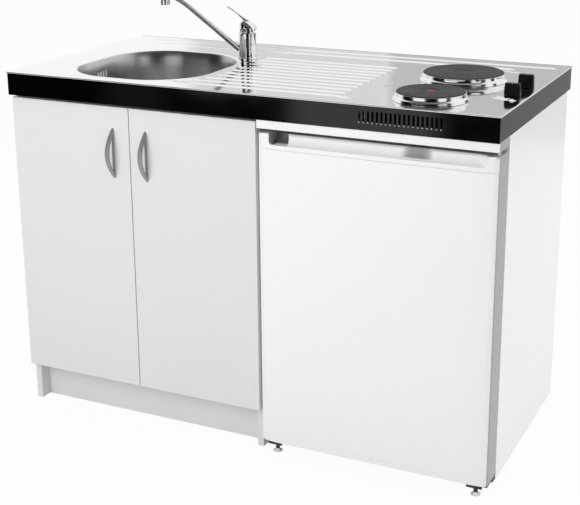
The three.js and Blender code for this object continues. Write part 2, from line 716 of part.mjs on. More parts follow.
// ---------------------------------------------------------------- tap
function makeTap() {
  const { tap } = PIECE_PARENTS;
  const collarTop = SPOUT_COLLAR_BOTTOM + SPOUT_COLLAR_HEIGHT;
  const nutTop = -SHEET - FIT;
  const nutBottom = nutTop - TAP_NUT_THICK;
  const cupRadius = CARTRIDGE_RADIUS + TURN_FIT;
  const cupFloor = TAP_BODY_HEIGHT - CARTRIDGE_DEPTH;
  const body = lathe([
    [0, -TAP_SHANK_LENGTH],
    [TAP_SHANK_RADIUS, -TAP_SHANK_LENGTH],
    [TAP_SHANK_RADIUS, nutBottom],
    [TAP_NUT_RADIUS, nutBottom],
    [TAP_NUT_RADIUS, nutTop],
    [TAP_SHANK_RADIUS, nutTop],
    [TAP_SHANK_RADIUS, FIT],
    [TAP_BODY_RADIUS + 2.5, FIT],
    [TAP_BODY_RADIUS + 2, 4],
    [TAP_BODY_RADIUS, SPOUT_COLLAR_BOTTOM - FIT],
    [TAP_WAIST_RADIUS, SPOUT_COLLAR_BOTTOM - FIT],
    [TAP_WAIST_RADIUS, collarTop + FIT],
    [TAP_BODY_RADIUS, collarTop + FIT],
    [TAP_BODY_RADIUS, TAP_BODY_HEIGHT - 2],
    [TAP_BODY_RADIUS - 2, TAP_BODY_HEIGHT],
    [cupRadius, TAP_BODY_HEIGHT],
    [cupRadius, cupFloor],
    [0, cupFloor],
  ]);
  piece("tap_body", "chrome", body, tap);

  // The spout rises straight from its collar, then bends over to its outlet.
  const collarBore = TAP_WAIST_RADIUS + FIT;
  const collarRadius = collarBore + SPOUT_COLLAR_WALL;
  const collar = lathe([
    [collarBore, SPOUT_COLLAR_BOTTOM],
    [collarRadius, SPOUT_COLLAR_BOTTOM],
    [collarRadius, collarTop],
    [collarBore, collarTop],
    [collarBore, SPOUT_COLLAR_BOTTOM],
  ]);
  const start = new THREE.Vector3(collarBore + 3, 0, SPOUT_COLLAR_BOTTOM + 15);
  const straightEnd = new THREE.Vector3(SPOUT_REACH * 0.7, 0, SPOUT_RISE * 0.825);
  const bendTop = new THREE.Vector3(SPOUT_REACH * 0.86, 0, SPOUT_RISE);
  const outletTop = new THREE.Vector3(SPOUT_REACH, 0, SPOUT_RISE);
  const bend = new THREE.CubicBezierCurve3(
    straightEnd,
    bendTop,
    new THREE.Vector3(SPOUT_REACH, 0, SPOUT_RISE * 1.06),
    outletTop,
  );
  const path = [start, start.clone().lerp(straightEnd, 0.5), ...bend.getPoints(9)];
  const radii = path.map((p, i) => SPOUT_TUBE_RADIUS + 2 - (3 * i) / (path.length - 1));
  const tube = sweep(path, radii, new THREE.Vector3(0, 1, 0));
  const bodyRoom = lathe([
    [0, SPOUT_COLLAR_BOTTOM - 1],
    [collarBore, SPOUT_COLLAR_BOTTOM - 1],
    [collarBore, collarTop],
    [TAP_BODY_RADIUS + FIT, collarTop],
    [TAP_BODY_RADIUS + FIT, TAP_BODY_HEIGHT],
    [0, TAP_BODY_HEIGHT],
  ]);
  const outletEnd = SPOUT_RISE - SPOUT_OUTLET_DROP;
  const outlet = rodZ(SPOUT_REACH, 0, AERATOR_RADIUS - 1, outletEnd, SPOUT_RISE + 3);
  piece("tap_spout", "chrome", joined([collar, tube, outlet]).subtract(bodyRoom), tap);

  const aeratorTop = outletEnd - FIT;
  const aerator = lathe([
    [0, aeratorTop - AERATOR_HEIGHT + 2],
    [AERATOR_RADIUS - 3, aeratorTop - AERATOR_HEIGHT + 2],
    [AERATOR_RADIUS - 3, aeratorTop - AERATOR_HEIGHT],
    [AERATOR_RADIUS, aeratorTop - AERATOR_HEIGHT],
    [AERATOR_RADIUS, aeratorTop],
    [0, aeratorTop],
  ], { x: SPOUT_REACH });
  piece("spout_aerator", "chrome", aerator, tap);

  // The cartridge turns in the body's cup and ends in a dome on which the lever rocks.
  const domeFoot = TAP_BODY_HEIGHT + FIT - LEVER_PIVOT_HEIGHT;
  const dome = meridian(LEVER_DOME_RADIUS, domeFoot, LEVER_DOME_RADIUS, 6);
  const cartridge = lathe([
    [0, cupFloor + FIT],
    [CARTRIDGE_RADIUS, cupFloor + FIT],
    [CARTRIDGE_RADIUS, TAP_BODY_HEIGHT + FIT],
    ...dome.map(([radius, height]) => [radius, LEVER_PIVOT_HEIGHT + height]),
  ]);
  piece("tap_cartridge", "chrome", cartridge, tap);

  // The lever: a hood that fits over the dome and a thin blade that curves up over the spout.
  const socketRadius = LEVER_DOME_RADIUS + LEVER_DOME_FIT;
  const hoodFoot = LEVER_HOOD_BOTTOM - LEVER_PIVOT_HEIGHT;
  const socket = meridian(socketRadius, hoodFoot, socketRadius, 5).reverse();
  const hood = lathe([
    ...socket.map(([radius, height]) => [radius, LEVER_PIVOT_HEIGHT + height]),
    [LEVER_HOOD_RADIUS, LEVER_HOOD_BOTTOM],
    [LEVER_HOOD_RADIUS, LEVER_HOOD_TOP - 10],
    [LEVER_HOOD_RADIUS - 5, LEVER_HOOD_TOP - 3],
    [LEVER_HOOD_RADIUS - 12, LEVER_HOOD_TOP],
    [0, LEVER_HOOD_TOP],
  ]);
  const bladeCurve = new THREE.QuadraticBezierCurve3(
    new THREE.Vector3(-4, 0, LEVER_HOOD_TOP),
    new THREE.Vector3(8, 0, LEVER_HOOD_TOP + 10),
    new THREE.Vector3(LEVER_REACH, 0, LEVER_TIP_HEIGHT),
  );
  const upper = bladeCurve.getPoints(8);
  const outline = upper.map((p) => [p.x, p.z + 2]);
  const under = upper.map((p, i) => [p.x + 3, p.z - 3 + (2.4 * i) / 8]).reverse();
  const bladeHalf = LEVER_BLADE_WIDTH / 2;
  const blade = prismY([...outline, ...under], -bladeHalf, bladeHalf);
  piece("tap_lever", "chrome", hood.add(blade), tap);
}

// ---------------------------------------------------------------- hob
function makeHob() {
  const deck = TOP_HEIGHT;
  const top = deck + HOTPLATE_RISE;
  const rimUnder = top - HOTPLATE_RIM;
  const panFloor = FRAME_BOTTOM + PAN_FLOOR_GAP;
  for (const [where, { x, y, radius }] of Object.entries(HOTPLATES)) {
    const casing = radius - RING_SHELF - 6;
    const plate = lathe([
      [0, panFloor - 3],
      [4, panFloor - 3],
      [4, DECK_UNDER - 14],
      [casing, DECK_UNDER - 14],
      [casing, rimUnder - 2],
      [radius - RING_SHELF + 1, rimUnder],
      [radius, rimUnder],
      [radius, top - 1.5],
      [radius - 1.5, top],
      [HOTPLATE_RECESS_RADIUS + 2, top],
      [HOTPLATE_RECESS_RADIUS, top - 1.5],
      [0, top - 1.5],
    ], { x, y, segments: 32 });
    piece(where + "_hotplate", "castIron", plate);

    // The overflow ring: a flared foot on the deck, a shelf under the plate and a rim round it.
    const shelf = rimUnder - FIT;
    const wall = radius + FIT;
    const ring = lathe([
      [wall + RING_FLARE - 3, deck + FIT],
      [wall + RING_FLARE, deck + FIT],
      [wall + RING_FLARE - 2.5, deck + 2.5],
      [wall + RING_FLARE - 3.5, deck + 7],
      [wall + 2, deck + 8.5],
      [wall + 1.2, top - 2.2],
      [wall, top - 2.2],
      [wall, shelf],
      [radius - RING_SHELF, shelf],
      [radius - RING_SHELF, shelf - 1.2],
      [wall + 0.6, shelf - 1.2],
      [wall + RING_FLARE - 5, deck + 6],
      [wall + RING_FLARE - 3, deck + FIT],
    ], { x, y, segments: 32 });
    piece(where + "_hotplate_ring", "chrome", ring);
  }

  // A folded pan shields what is below; its front is open to the vents.
  const inside = FRAME_INSET + FRAME_FLANGE + FIT;
  const panRight = TOP_WIDTH - inside;
  const panFront = inside;
  const panBack = TOP_DEPTH - inside;
  const panTop = DECK_UNDER - FIT;
  const outer = box(PAN_LEFT, panRight, panFront, panBack, panFloor, panTop);
  const room = box(
    PAN_LEFT + PAN_SHEET,
    panRight - PAN_SHEET,
    panFront - 1,
    panBack - PAN_SHEET,
    panFloor + PAN_SHEET,
    panTop + 1,
  );
  let pan = outer.subtract(room);
  for (const { x, y } of Object.values(HOTPLATES)) {
    pan = pan.subtract(rodZ(x, y, 4 + FIT, panFloor - 1, panFloor + PAN_SHEET + 1));
  }
  const inletZ = (panFloor + panTop) / 2;
  pan = pan.subtract(rodY(PAN_LEFT + 60, inletZ, 8, panBack - 5, panBack + 1));
  piece("hob_under_pan", "galvanised", pan);

  // One housing holds both rotary switches; each knob's shaft turns in it.
  const boxTop = DECK_UNDER - FIT;
  const boxBottom = boxTop - SWITCH_BOX_HEIGHT;
  const half = SWITCH_BOX_WIDTH / 2;
  const boxRight = Math.min(KNOB_X + half, panRight - PAN_SHEET - FIT);
  const boxFront = KNOB_Y.front - half;
  const boxBack = KNOB_Y.rear + half;
  let housing = box(KNOB_X - half, boxRight, boxFront, boxBack, boxBottom, boxTop);
  const shaftEnd = boxTop - 14;
  for (const y of Object.values(KNOB_Y)) {
    const shaftHole = SWITCH_SHAFT_RADIUS + TURN_FIT;
    housing = housing.subtract(rodZ(KNOB_X, y, shaftHole, shaftEnd - 1, boxTop + 1));
  }
  piece("hob_switch_housing", "blackPlastic", housing);

  for (const [where, y] of Object.entries(KNOB_Y)) {
    const base = deck + FIT;
    const high = base + KNOB_HEIGHT;
    let knob = lathe([
      [0, shaftEnd],
      [SWITCH_SHAFT_RADIUS, shaftEnd],
      [SWITCH_SHAFT_RADIUS, base],
      [KNOB_RADIUS, base],
      [KNOB_RADIUS, base + 4],
      [KNOB_RADIUS - 2, high - 2],
      [KNOB_RADIUS - 4, high],
      [0, high],
    ], { x: KNOB_X, y });
    // two flats leave a finger bar across the upper half
    const flat = KNOB_RADIUS * 0.55;
    const over = KNOB_RADIUS + 1;
    const across = [KNOB_X - over, KNOB_X + over];
    knob = knob.subtract(box(...across, y + flat, y + over, base + 9, high + 1));
    knob = knob.subtract(box(...across, y - over, y - flat, base + 9, high + 1));
    piece(where + "_knob", "blackPlastic", knob);
  }
}

// ---------------------------------------------------------------- sink cabinet
function makeCabinet() {
  const insideFloor = PLINTH_HEIGHT + BOARD;
  const side = (x) => box(x, x + BOARD, CABINET_FRONT_Y, CABINET_BACK_Y, 0, CABINET_TOP);
  piece("left_side_panel", "whiteBoard", side(CABINET_LEFT));
  piece("right_side_panel", "whiteBoard", side(CABINET_RIGHT - BOARD));
  const boardY = CABINET_BACK_Y - BACK_BOARD_INSET;
  const acrossInside = [INSIDE_LEFT, INSIDE_RIGHT];
  const floorBoard = box(...acrossInside, CABINET_FRONT_Y, boardY, PLINTH_HEIGHT, insideFloor);
  piece("cabinet_floor", "whiteBoard", floorBoard);
  const backLow = insideFloor + FIT;
  const back = box(...acrossInside, boardY - BACK_BOARD, boardY, backLow, CABINET_TOP);
  const pipeHole = rodY(BOWL_X, TRAP_OUTLET_Z, OUTLET_RADIUS + FIT, boardY - 10, boardY + 10);
  piece("cabinet_back", "hardboard", back.subtract(pipeHole));
  const railBottom = CABINET_TOP - RAIL_HEIGHT;
  const railBack = CABINET_FRONT_Y + BOARD;
  const rail = box(...acrossInside, CABINET_FRONT_Y, railBack, railBottom, CABINET_TOP);
  piece("front_rail", "whiteBoard", rail);
  const plinthY = CABINET_FRONT_Y + PLINTH_SETBACK;
  const plinth = box(...acrossInside, plinthY, plinthY + BOARD, 0, PLINTH_HEIGHT - FIT);
  piece("plinth_board", "whiteBoard", plinth);
}

// ---------------------------------------------------------------- cabinet doors
// side is "left" or "right": the edge that the door hangs on.
function makeDoor(side) {
  const away = side === "left" ? 1 : -1; // from the hinge edge towards the free edge
  const edge =
    side === "left" ? CABINET_LEFT + DOOR_EDGE_INSET : CABINET_RIGHT - DOOR_EDGE_INSET;
  const free = edge + away * DOOR_WIDTH;
  const spanX = (a, b) => [Math.min(a, b), Math.max(a, b)];
  let panel = box(...spanX(edge, free), DOOR_FRONT_Y, DOOR_BACK_Y, DOOR_BOTTOM, DOOR_TOP);
  const cupX = edge + away * HINGE_CUP_FROM_EDGE;
  for (const z of Object.values(HINGE_HEIGHTS)) {
    const depthY = DOOR_BACK_Y - HINGE_CUP_DEPTH - FIT;
    panel = panel.subtract(rodY(cupX, z, HINGE_CUP_RADIUS + FIT, depthY, DOOR_BACK_Y + 1));
  }
  piece(side + "_door", "whiteBoard", panel);

  for (const [level, z] of Object.entries(HINGE_HEIGHTS)) {
    const flangeBack = DOOR_BACK_Y + DOOR_BACK_GAP - 0.5;
    const flange = box(cupX - 12, cupX + 12, DOOR_BACK_Y + FIT, flangeBack, z - 26, z + 26);
    const cupFront = DOOR_BACK_Y - HINGE_CUP_DEPTH;
    const cup = rodY(cupX, z, HINGE_CUP_RADIUS, cupFront, flangeBack);
    const roomRadius = HINGE_CUP_RADIUS - HINGE_CUP_WALL;
    const room = rodY(cupX, z, roomRadius, cupFront + HINGE_CUP_WALL, flangeBack + 1);
    piece(side + "_" + level + "_hinge_cup", "galvanised", flange.add(cup).subtract(room));

    const panelFace = side === "left" ? CABINET_LEFT + BOARD : CABINET_RIGHT - BOARD;
    const foot = panelFace + away * FIT;
    const armY = CABINET_FRONT_Y + 1;
    const half = HINGE_ARM_HEIGHT / 2;
    const plateEnds = spanX(foot, foot + away * 3);
    const plate = box(...plateEnds, armY + 22, armY + HINGE_ARM_LENGTH, z - 24, z + 24);
    const armEnds = spanX(foot, foot + away * HINGE_ARM_THICK);
    const arm = box(...armEnds, armY + 10, armY + HINGE_ARM_LENGTH - 4, z - half, z + half);
    const noseEnds = spanX(foot + away * 2, foot + away * (HINGE_ARM_THICK - 1));
    const nose = box(...noseEnds, armY, armY + 12, z - half + 3, z + half - 3);
    piece(side + "_" + level + "_hinge_arm", "galvanised", joined([plate, arm, nose]));
  }

  // Bow handle: a crescent drawn from the side as a wide bar, on a slim straight rail.
  const handleTop = DOOR_TOP - HANDLE_DROP;
  const half = HANDLE_LENGTH / 2;
  const footY = DOOR_FRONT_Y - FIT;
  const reach = HANDLE_REACH - FIT;
  const steps = 12;
  const bow = (depth, halfSpan) =>
    Array.from({ length: steps + 1 }, (_, i) => {
      const t = (2 * i) / steps - 1;
      return [footY - depth * (1 - t * t), handleTop - half + halfSpan * t];
    });
  const crescent = [...bow(reach, half), ...bow(reach - HANDLE_BAR, half - 13).reverse()];
  const handleX = free - away * HANDLE_FROM_EDGE;
  const bar = prismX(crescent, handleX - HANDLE_WIDTH / 2, handleX + HANDLE_WIDTH / 2);
  // seen from the front the bar narrows towards its feet
  const edgeX = (direction) =>
    Array.from({ length: steps + 1 }, (_, i) => {
      const t = direction * ((2 * i) / steps - 1);
      const halfWidth = (HANDLE_WIDTH - (HANDLE_WIDTH - HANDLE_TIP_WIDTH) * t * t) / 2;
      return [handleX + direction * halfWidth, handleTop - half + t * half];
    });
  const front = prismY([...edgeX(1), ...edgeX(-1)], footY - reach - 1, footY + 1);
  const railEdge = HANDLE_RAIL_WIDTH / 2;
  const railEnd = 6;
  const rail = box(
    handleX - railEdge,
    handleX + railEdge,
    footY - HANDLE_RAIL_THICK,
    footY,
    handleTop - HANDLE_LENGTH + railEnd,
    handleTop - railEnd,
  );
  piece(side + "_door_handle", "satinNickel", bar.intersect(front).add(rail));
}

// ---------------------------------------------------------------- refrigerator body
// The cavity's outline seen from the side: full depth above the hump, shallower below it.
function cavityOutline(inset, frontY) {
  const bottom = CAVITY.bottom + inset;
  const top = CAVITY.top - inset;
  const back = CAVITY.back - inset;
  const humpY = HUMP_FRONT - inset;
  const humpZ = HUMP_TOP + inset;
  return [
    [frontY, bottom],
    [humpY, bottom],
    [humpY, humpZ],
    [back, humpZ],
    [back, top],
    [frontY, top],
  ];
}

function makeFridgeBody() {
  const frontY = FRIDGE_BODY_Y;
  const nicheFront = HUMP_FRONT + FRIDGE_WALL;
  const nicheTop = HUMP_TOP - FRIDGE_WALL;
  const nicheLeft = FRIDGE_LEFT + NICHE_WALL;
  const nicheRight = FRIDGE_RIGHT - NICHE_WALL;
  const caseBox = (inset) =>
    box(
      FRIDGE_LEFT + inset,
      FRIDGE_RIGHT - inset,
      frontY + inset,
      FRIDGE_BACK_Y - inset,
      FRIDGE_FLOOR_GAP + inset,
      FRIDGE_TOP - inset,
    );
  const nicheBox = (grow) =>
    box(
      nicheLeft - grow,
      nicheRight + grow,
      nicheFront - grow,
      FRIDGE_BACK_Y + 1,
      FRIDGE_FLOOR_GAP - 1,
      nicheTop + grow,
    );
  // The case is folded sheet; the space that the liner leaves inside it holds only foam.
  const mouthY = [frontY - 1, frontY + FRIDGE_SKIN + 1];
  const mouth = box(CAVITY.left, CAVITY.right, ...mouthY, CAVITY.bottom, CAVITY.top);
  const hollow = caseBox(FRIDGE_SKIN).subtract(nicheBox(FRIDGE_SKIN));
  const body = caseBox(0).subtract(nicheBox(0)).subtract(hollow).subtract(mouth);
  piece("fridge_cabinet", "whiteEnamel", body);

  // The apron closes the front above the door and holds the upper pin.
  let apron = box(
    FRIDGE_LEFT,
    FRIDGE_RIGHT,
    FRIDGE_FRONT_Y,
    FRIDGE_BODY_Y - FIT,
    APRON_BOTTOM,
    FRIDGE_TOP,
  );
  const pinBottom = TRIM_TOP - HINGE_PIN_LENGTH;
  apron = apron.add(rodZ(HINGE_X, HINGE_Y, HINGE_PIN_RADIUS, pinBottom, APRON_BOTTOM + 2));
  piece("fridge_top_apron", "whitePlastic", apron);

  // The liner is one vacuum-formed tub with ledges for the shelves.
  const tub = prismX(cavityOutline(FIT, frontY), CAVITY.left + FIT, CAVITY.right - FIT);
  const room = prismX(cavityOutline(FIT + LINER_SHEET, frontY - 1), INNER.left, INNER.right);
  const ledgeTops = [MID_SHELF_Z - FIT, HUMP_TOP + FIT + LINER_SHEET];
  const ledges = ledgeTops.flatMap((z) => [
    box(INNER.left - 1, INNER.left + LEDGE, SHELF_FRONT_Y, INNER.back + 1, z - 6, z),
    box(INNER.right - LEDGE, INNER.right + 1, SHELF_FRONT_Y, INNER.back + 1, z - 6, z),
  ]);
  const liner = tub.subtract(room).add(joined(ledges).intersect(tub));
  piece("fridge_liner", "whitePlastic", liner);

  // A steel tray with two rear feet closes the niche and carries the compressor.
  const trayY = nicheFront + FIT;
  const trayTop = FRIDGE_FLOOR_GAP + 2;
  const acrossTray = [nicheLeft + FIT, nicheRight - FIT];
  const tray = box(...acrossTray, trayY, FRIDGE_BACK_Y, FRIDGE_FLOOR_GAP, trayTop);
  const padY = FRIDGE_BACK_Y - 34;
  const pads = [nicheLeft + 30, nicheRight - 30].map((x) =>
    rodZ(x, padY, FOOT_RADIUS, 0, FRIDGE_FLOOR_GAP + 1),
  );
  piece("fridge_rear_tray", "galvanised", tray.add(joined(pads)));
  const potBase = trayTop + FIT;
  const potY = (nicheFront + FRIDGE_BACK_Y) / 2;
  const pot = lathe([
    [0, potBase],
    [COMPRESSOR_RADIUS + 4, potBase],
    [COMPRESSOR_RADIUS + 4, potBase + 5],
    [COMPRESSOR_RADIUS - 8, potBase + 12],
    [COMPRESSOR_RADIUS, potBase + 26],
    [COMPRESSOR_RADIUS, potBase + COMPRESSOR_HEIGHT - 36],
    [COMPRESSOR_RADIUS - 8, potBase + COMPRESSOR_HEIGHT - 14],
    [COMPRESSOR_RADIUS - 26, potBase + COMPRESSOR_HEIGHT - 4],
    [0, potBase + COMPRESSOR_HEIGHT],
  ], { x: nicheRight - 110, y: potY });
  piece("compressor", "blackSteel", pot);
}

// A steel rail across the foot of the body; its two arms reach under the door. Both hold a
// screwed foot, and the right one also holds the door's lower pin.
function makeFridgeBase() {
  const top = FRIDGE_DOOR_BOTTOM - BASE_DOOR_GAP;
  const railBack = FRIDGE_BODY_Y - FIT;
  const railFront = railBack - BASE_RAIL_DEPTH;
  const armLow = top - BASE_ARM_THICK;
  const left = FRIDGE_LEFT + 4;
  const right = FRIDGE_RIGHT - 1;
  const arms = [left, right - BASE_ARM_WIDTH].map((x) =>
    box(x, x + BASE_ARM_WIDTH, FRIDGE_FRONT_Y + BASE_ARM_FRONT, railBack, armLow, top),
  );
  const rail = box(left, right, railFront, railBack, top - BASE_RAIL_HEIGHT, top);
  const pinTop = FRIDGE_DOOR_BOTTOM + HINGE_PIN_LENGTH;
  const pin = rodZ(HINGE_X, HINGE_Y, HINGE_PIN_RADIUS, top - 1, pinTop);
  let base = joined([rail, ...arms, pin]);
  const stemTop = top + 0.5;
  const feetX = {
    left: FRIDGE_LEFT + FOOT_INSET.left,
    right: FRIDGE_RIGHT - FOOT_INSET.right,
  };
  for (const [where, x] of Object.entries(feetX)) {
    base = base.subtract(rodZ(x, HINGE_Y, FOOT_STEM_RADIUS + TURN_FIT, armLow - 1, stemTop + 1));
    const foot = lathe([
      [0, 0],
      [FOOT_RADIUS, 0],
      [FOOT_RADIUS, 4],
      [FOOT_STEM_RADIUS + 4, 8],
      [FOOT_STEM_RADIUS + 4, 12],
      [FOOT_STEM_RADIUS, 12],
      [FOOT_STEM_RADIUS, stemTop],
      [0, stemTop],
    ], { x, y: HINGE_Y, segments: 18 });
    piece("front_" + where + "_foot", "blackPlastic", foot);
  }
  piece("fridge_front_base", "blackSteel", base);
}

// The condenser: a tube that winds to and fro behind the body, on two flat straps.
function makeCondenser() {
  const middle = (FRIDGE_LEFT + FRIDGE_RIGHT) / 2;
  const halfRun = FRIDGE_WIDTH / 2 - 60;
  const turn = CONDENSER_PITCH / 2;
  const y = FRIDGE_BACK_Y + CONDENSER_STANDOFF;
  const lowest = HUMP_TOP + 12;
  const points = [];
  for (let pass = 0; pass < CONDENSER_PASSES; pass++) {
    const direction = pass % 2 === 0 ? 1 : -1;
    const z = lowest + pass * CONDENSER_PITCH;
    points.push(new THREE.Vector3(middle - direction * halfRun, y, z));
    points.push(new THREE.Vector3(middle + direction * halfRun, y, z));
    if (pass === CONDENSER_PASSES - 1) break;
    for (let i = 1; i < 4; i++) {
      const angle = (i / 4) * Math.PI;
      const x = middle + direction * (halfRun + turn * Math.sin(angle));
      points.push(new THREE.Vector3(x, y, z + turn * (1 - Math.cos(angle))));
    }
  }
  const radii = points.map(() => CONDENSER_TUBE_RADIUS);
  const coil = sweep(points, radii, new THREE.Vector3(0, 1, 0), 6);
  const highest = lowest + (CONDENSER_PASSES - 1) * CONDENSER_PITCH;
  const straps = [-1, 1].flatMap((side) => {
    const x = middle + side * (halfRun - 24);
    const strapY = y - CONDENSER_TUBE_RADIUS;
    const clips = [lowest + 20, highest - 20].map((z) =>
      box(x - 6, x + 6, FRIDGE_BACK_Y + FIT, strapY, z - 6, z + 6),
    );
    return [box(x - 8, x + 8, strapY - 1, strapY + 1, lowest - 8, highest + 8), ...clips];
  });
  piece("condenser", "blackSteel", coil.add(joined(straps)));
}

// ---------------------------------------------------------------- refrigerator door
function makeFridgeDoor() {
  const backY = FRIDGE_DOOR_BACK_Y;
  const pinRoom = (z0, z1) => rodZ(HINGE_X, HINGE_Y, HINGE_PIN_RADIUS + TURN_FIT, z0, z1);
  const doorPlan = (inset, endY) => [
    [FRIDGE_LEFT + inset, endY],
    ...arc(
      FRIDGE_LEFT + DOOR_CORNER,
      FRIDGE_FRONT_Y + DOOR_CORNER,
      DOOR_CORNER - inset,
      180,
      270,
    ),
    ...arc(
      FRIDGE_RIGHT - DOOR_CORNER,
      FRIDGE_FRONT_Y + DOOR_CORNER,
      DOOR_CORNER - inset,
      270,
      360,
    ),
    [FRIDGE_RIGHT - inset, endY],
  ];
  const outline = doorPlan(0, backY);
  const panelTop = TRIM_BOTTOM - FIT;
  // The panel is a folded tray whose back edges turn inwards to carry the gasket.
  const skin = FRIDGE_SKIN;
  const trayRoom = prismZ(doorPlan(skin, backY - skin), FRIDGE_DOOR_BOTTOM + skin, panelTop - skin);
  const trayMouth = box(
    FRIDGE_LEFT + DOOR_RETURN,
    FRIDGE_RIGHT - DOOR_RETURN,
    backY - skin - 1,
    backY + 1,
    FRIDGE_DOOR_BOTTOM + DOOR_RETURN,
    panelTop - DOOR_RETURN,
  );
  const lowPinEnd = FRIDGE_DOOR_BOTTOM + HINGE_PIN_LENGTH + 1;
  const boss = rodZ(HINGE_X, HINGE_Y, PIN_BOSS_RADIUS, FRIDGE_DOOR_BOTTOM, lowPinEnd + 3);
  const lowRoom = pinRoom(FRIDGE_DOOR_BOTTOM - 1, lowPinEnd);
  const tray = prismZ(outline, FRIDGE_DOOR_BOTTOM, panelTop).subtract(trayRoom);
  const panel = tray.subtract(trayMouth).add(boss).subtract(lowRoom);
  piece("fridge_door_panel", "whiteEnamel", panel);

  // The grip trim caps the door; a scoop runs along its front for the fingers.
  const left = FRIDGE_LEFT + SCOOP_INSET;
  const right = FRIDGE_RIGHT - SCOOP_INSET;
  const scoopBottom = TRIM_TOP - SCOOP_HEIGHT;
  const over = 4;
  const scoopOutline = [
    [left, TRIM_TOP + over],
    ...arc(left + SCOOP_CORNER, scoopBottom + SCOOP_CORNER, SCOOP_CORNER, 180, 270),
    ...arc(right - SCOOP_CORNER, scoopBottom + SCOOP_CORNER, SCOOP_CORNER, 270, 360),
    [right, TRIM_TOP + over],
  ];
  const scoop = prismY(scoopOutline, FRIDGE_FRONT_Y - over, FRIDGE_FRONT_Y + SCOOP_DEPTH);
  const trim = prismZ(outline, TRIM_BOTTOM, TRIM_TOP).subtract(scoop);
  const topRoom = pinRoom(TRIM_TOP - HINGE_PIN_LENGTH - 1, TRIM_TOP + 1);
  piece("fridge_grip_trim", "whitePlastic", trim.subtract(topRoom));

  // The inner skin has a raised dike that fits inside the body's opening.
  const skinBack = backY + FIT + DOOR_LINER_SHEET;
  const skinInset = GASKET_INSET + GASKET_WIDTH + FIT;
  const skinBottom = FRIDGE_DOOR_BOTTOM + skinInset;
  const skinTop = TRIM_TOP - skinInset;
  const plate = box(
    FRIDGE_LEFT + skinInset,
    FRIDGE_RIGHT - skinInset,
    backY + FIT,
    skinBack,
    skinBottom,
    skinTop,
  );
  const dikeLeft = FRIDGE_LEFT + DIKE_OUTER_INSET;
  const dikeRight = FRIDGE_RIGHT - DIKE_OUTER_INSET;
  const dikeBottom = CAVITY.bottom + 10;
  const dikeTop = Math.min(CAVITY.top - 10, skinTop - 2);
  const dike = box(dikeLeft, dikeRight, skinBack - 1, skinBack + DIKE_DEPTH, dikeBottom, dikeTop);
  const field = box(
    dikeLeft + DIKE_WIDTH,
    dikeRight - DIKE_WIDTH,
    skinBack,
    skinBack + DIKE_DEPTH + 1,
    dikeBottom + DIKE_WIDTH,
    dikeTop - DIKE_WIDTH,
  );
  piece("fridge_door_liner", "whitePlastic", plate.add(dike.subtract(field)));

  const gasketBottom = FRIDGE_DOOR_BOTTOM + GASKET_INSET;
  const gasketTop = TRIM_TOP - GASKET_INSET;
  const gasketBack = backY + FIT + GASKET_THICK;
  const ring = box(
    FRIDGE_LEFT + GASKET_INSET,
    FRIDGE_RIGHT - GASKET_INSET,
    backY + FIT,
    gasketBack,
    gasketBottom,
    gasketTop,
  );
  const inside = box(
    FRIDGE_LEFT + GASKET_INSET + GASKET_WIDTH,
    FRIDGE_RIGHT - GASKET_INSET - GASKET_WIDTH,
    backY,
    gasketBack + 1,
    gasketBottom + GASKET_WIDTH,
    gasketTop - GASKET_WIDTH,
  );
  piece("door_gasket", "rubber", ring.subtract(inside));

  const rackFront = skinBack + FIT;
  const rackLeft = dikeLeft + DIKE_WIDTH + FIT;
  const rackRight = dikeRight - DIKE_WIDTH - FIT;
  const rackLow = RACK_HEIGHT_ABOVE_FLOOR;
  const rackHigh = rackLow + RACK_HEIGHT;
  const bin = box(rackLeft, rackRight, rackFront, rackFront + RACK_DEPTH, rackLow, rackHigh);
  const binRoom = box(
    rackLeft + RACK_WALL,
    rackRight - RACK_WALL,
    rackFront + RACK_WALL,
    rackFront + RACK_DEPTH - RACK_WALL,
    rackLow + RACK_WALL,
    rackHigh + 1,
  );
  piece("bottle_rack", "clearPlastic", bin.subtract(binRoom));
}

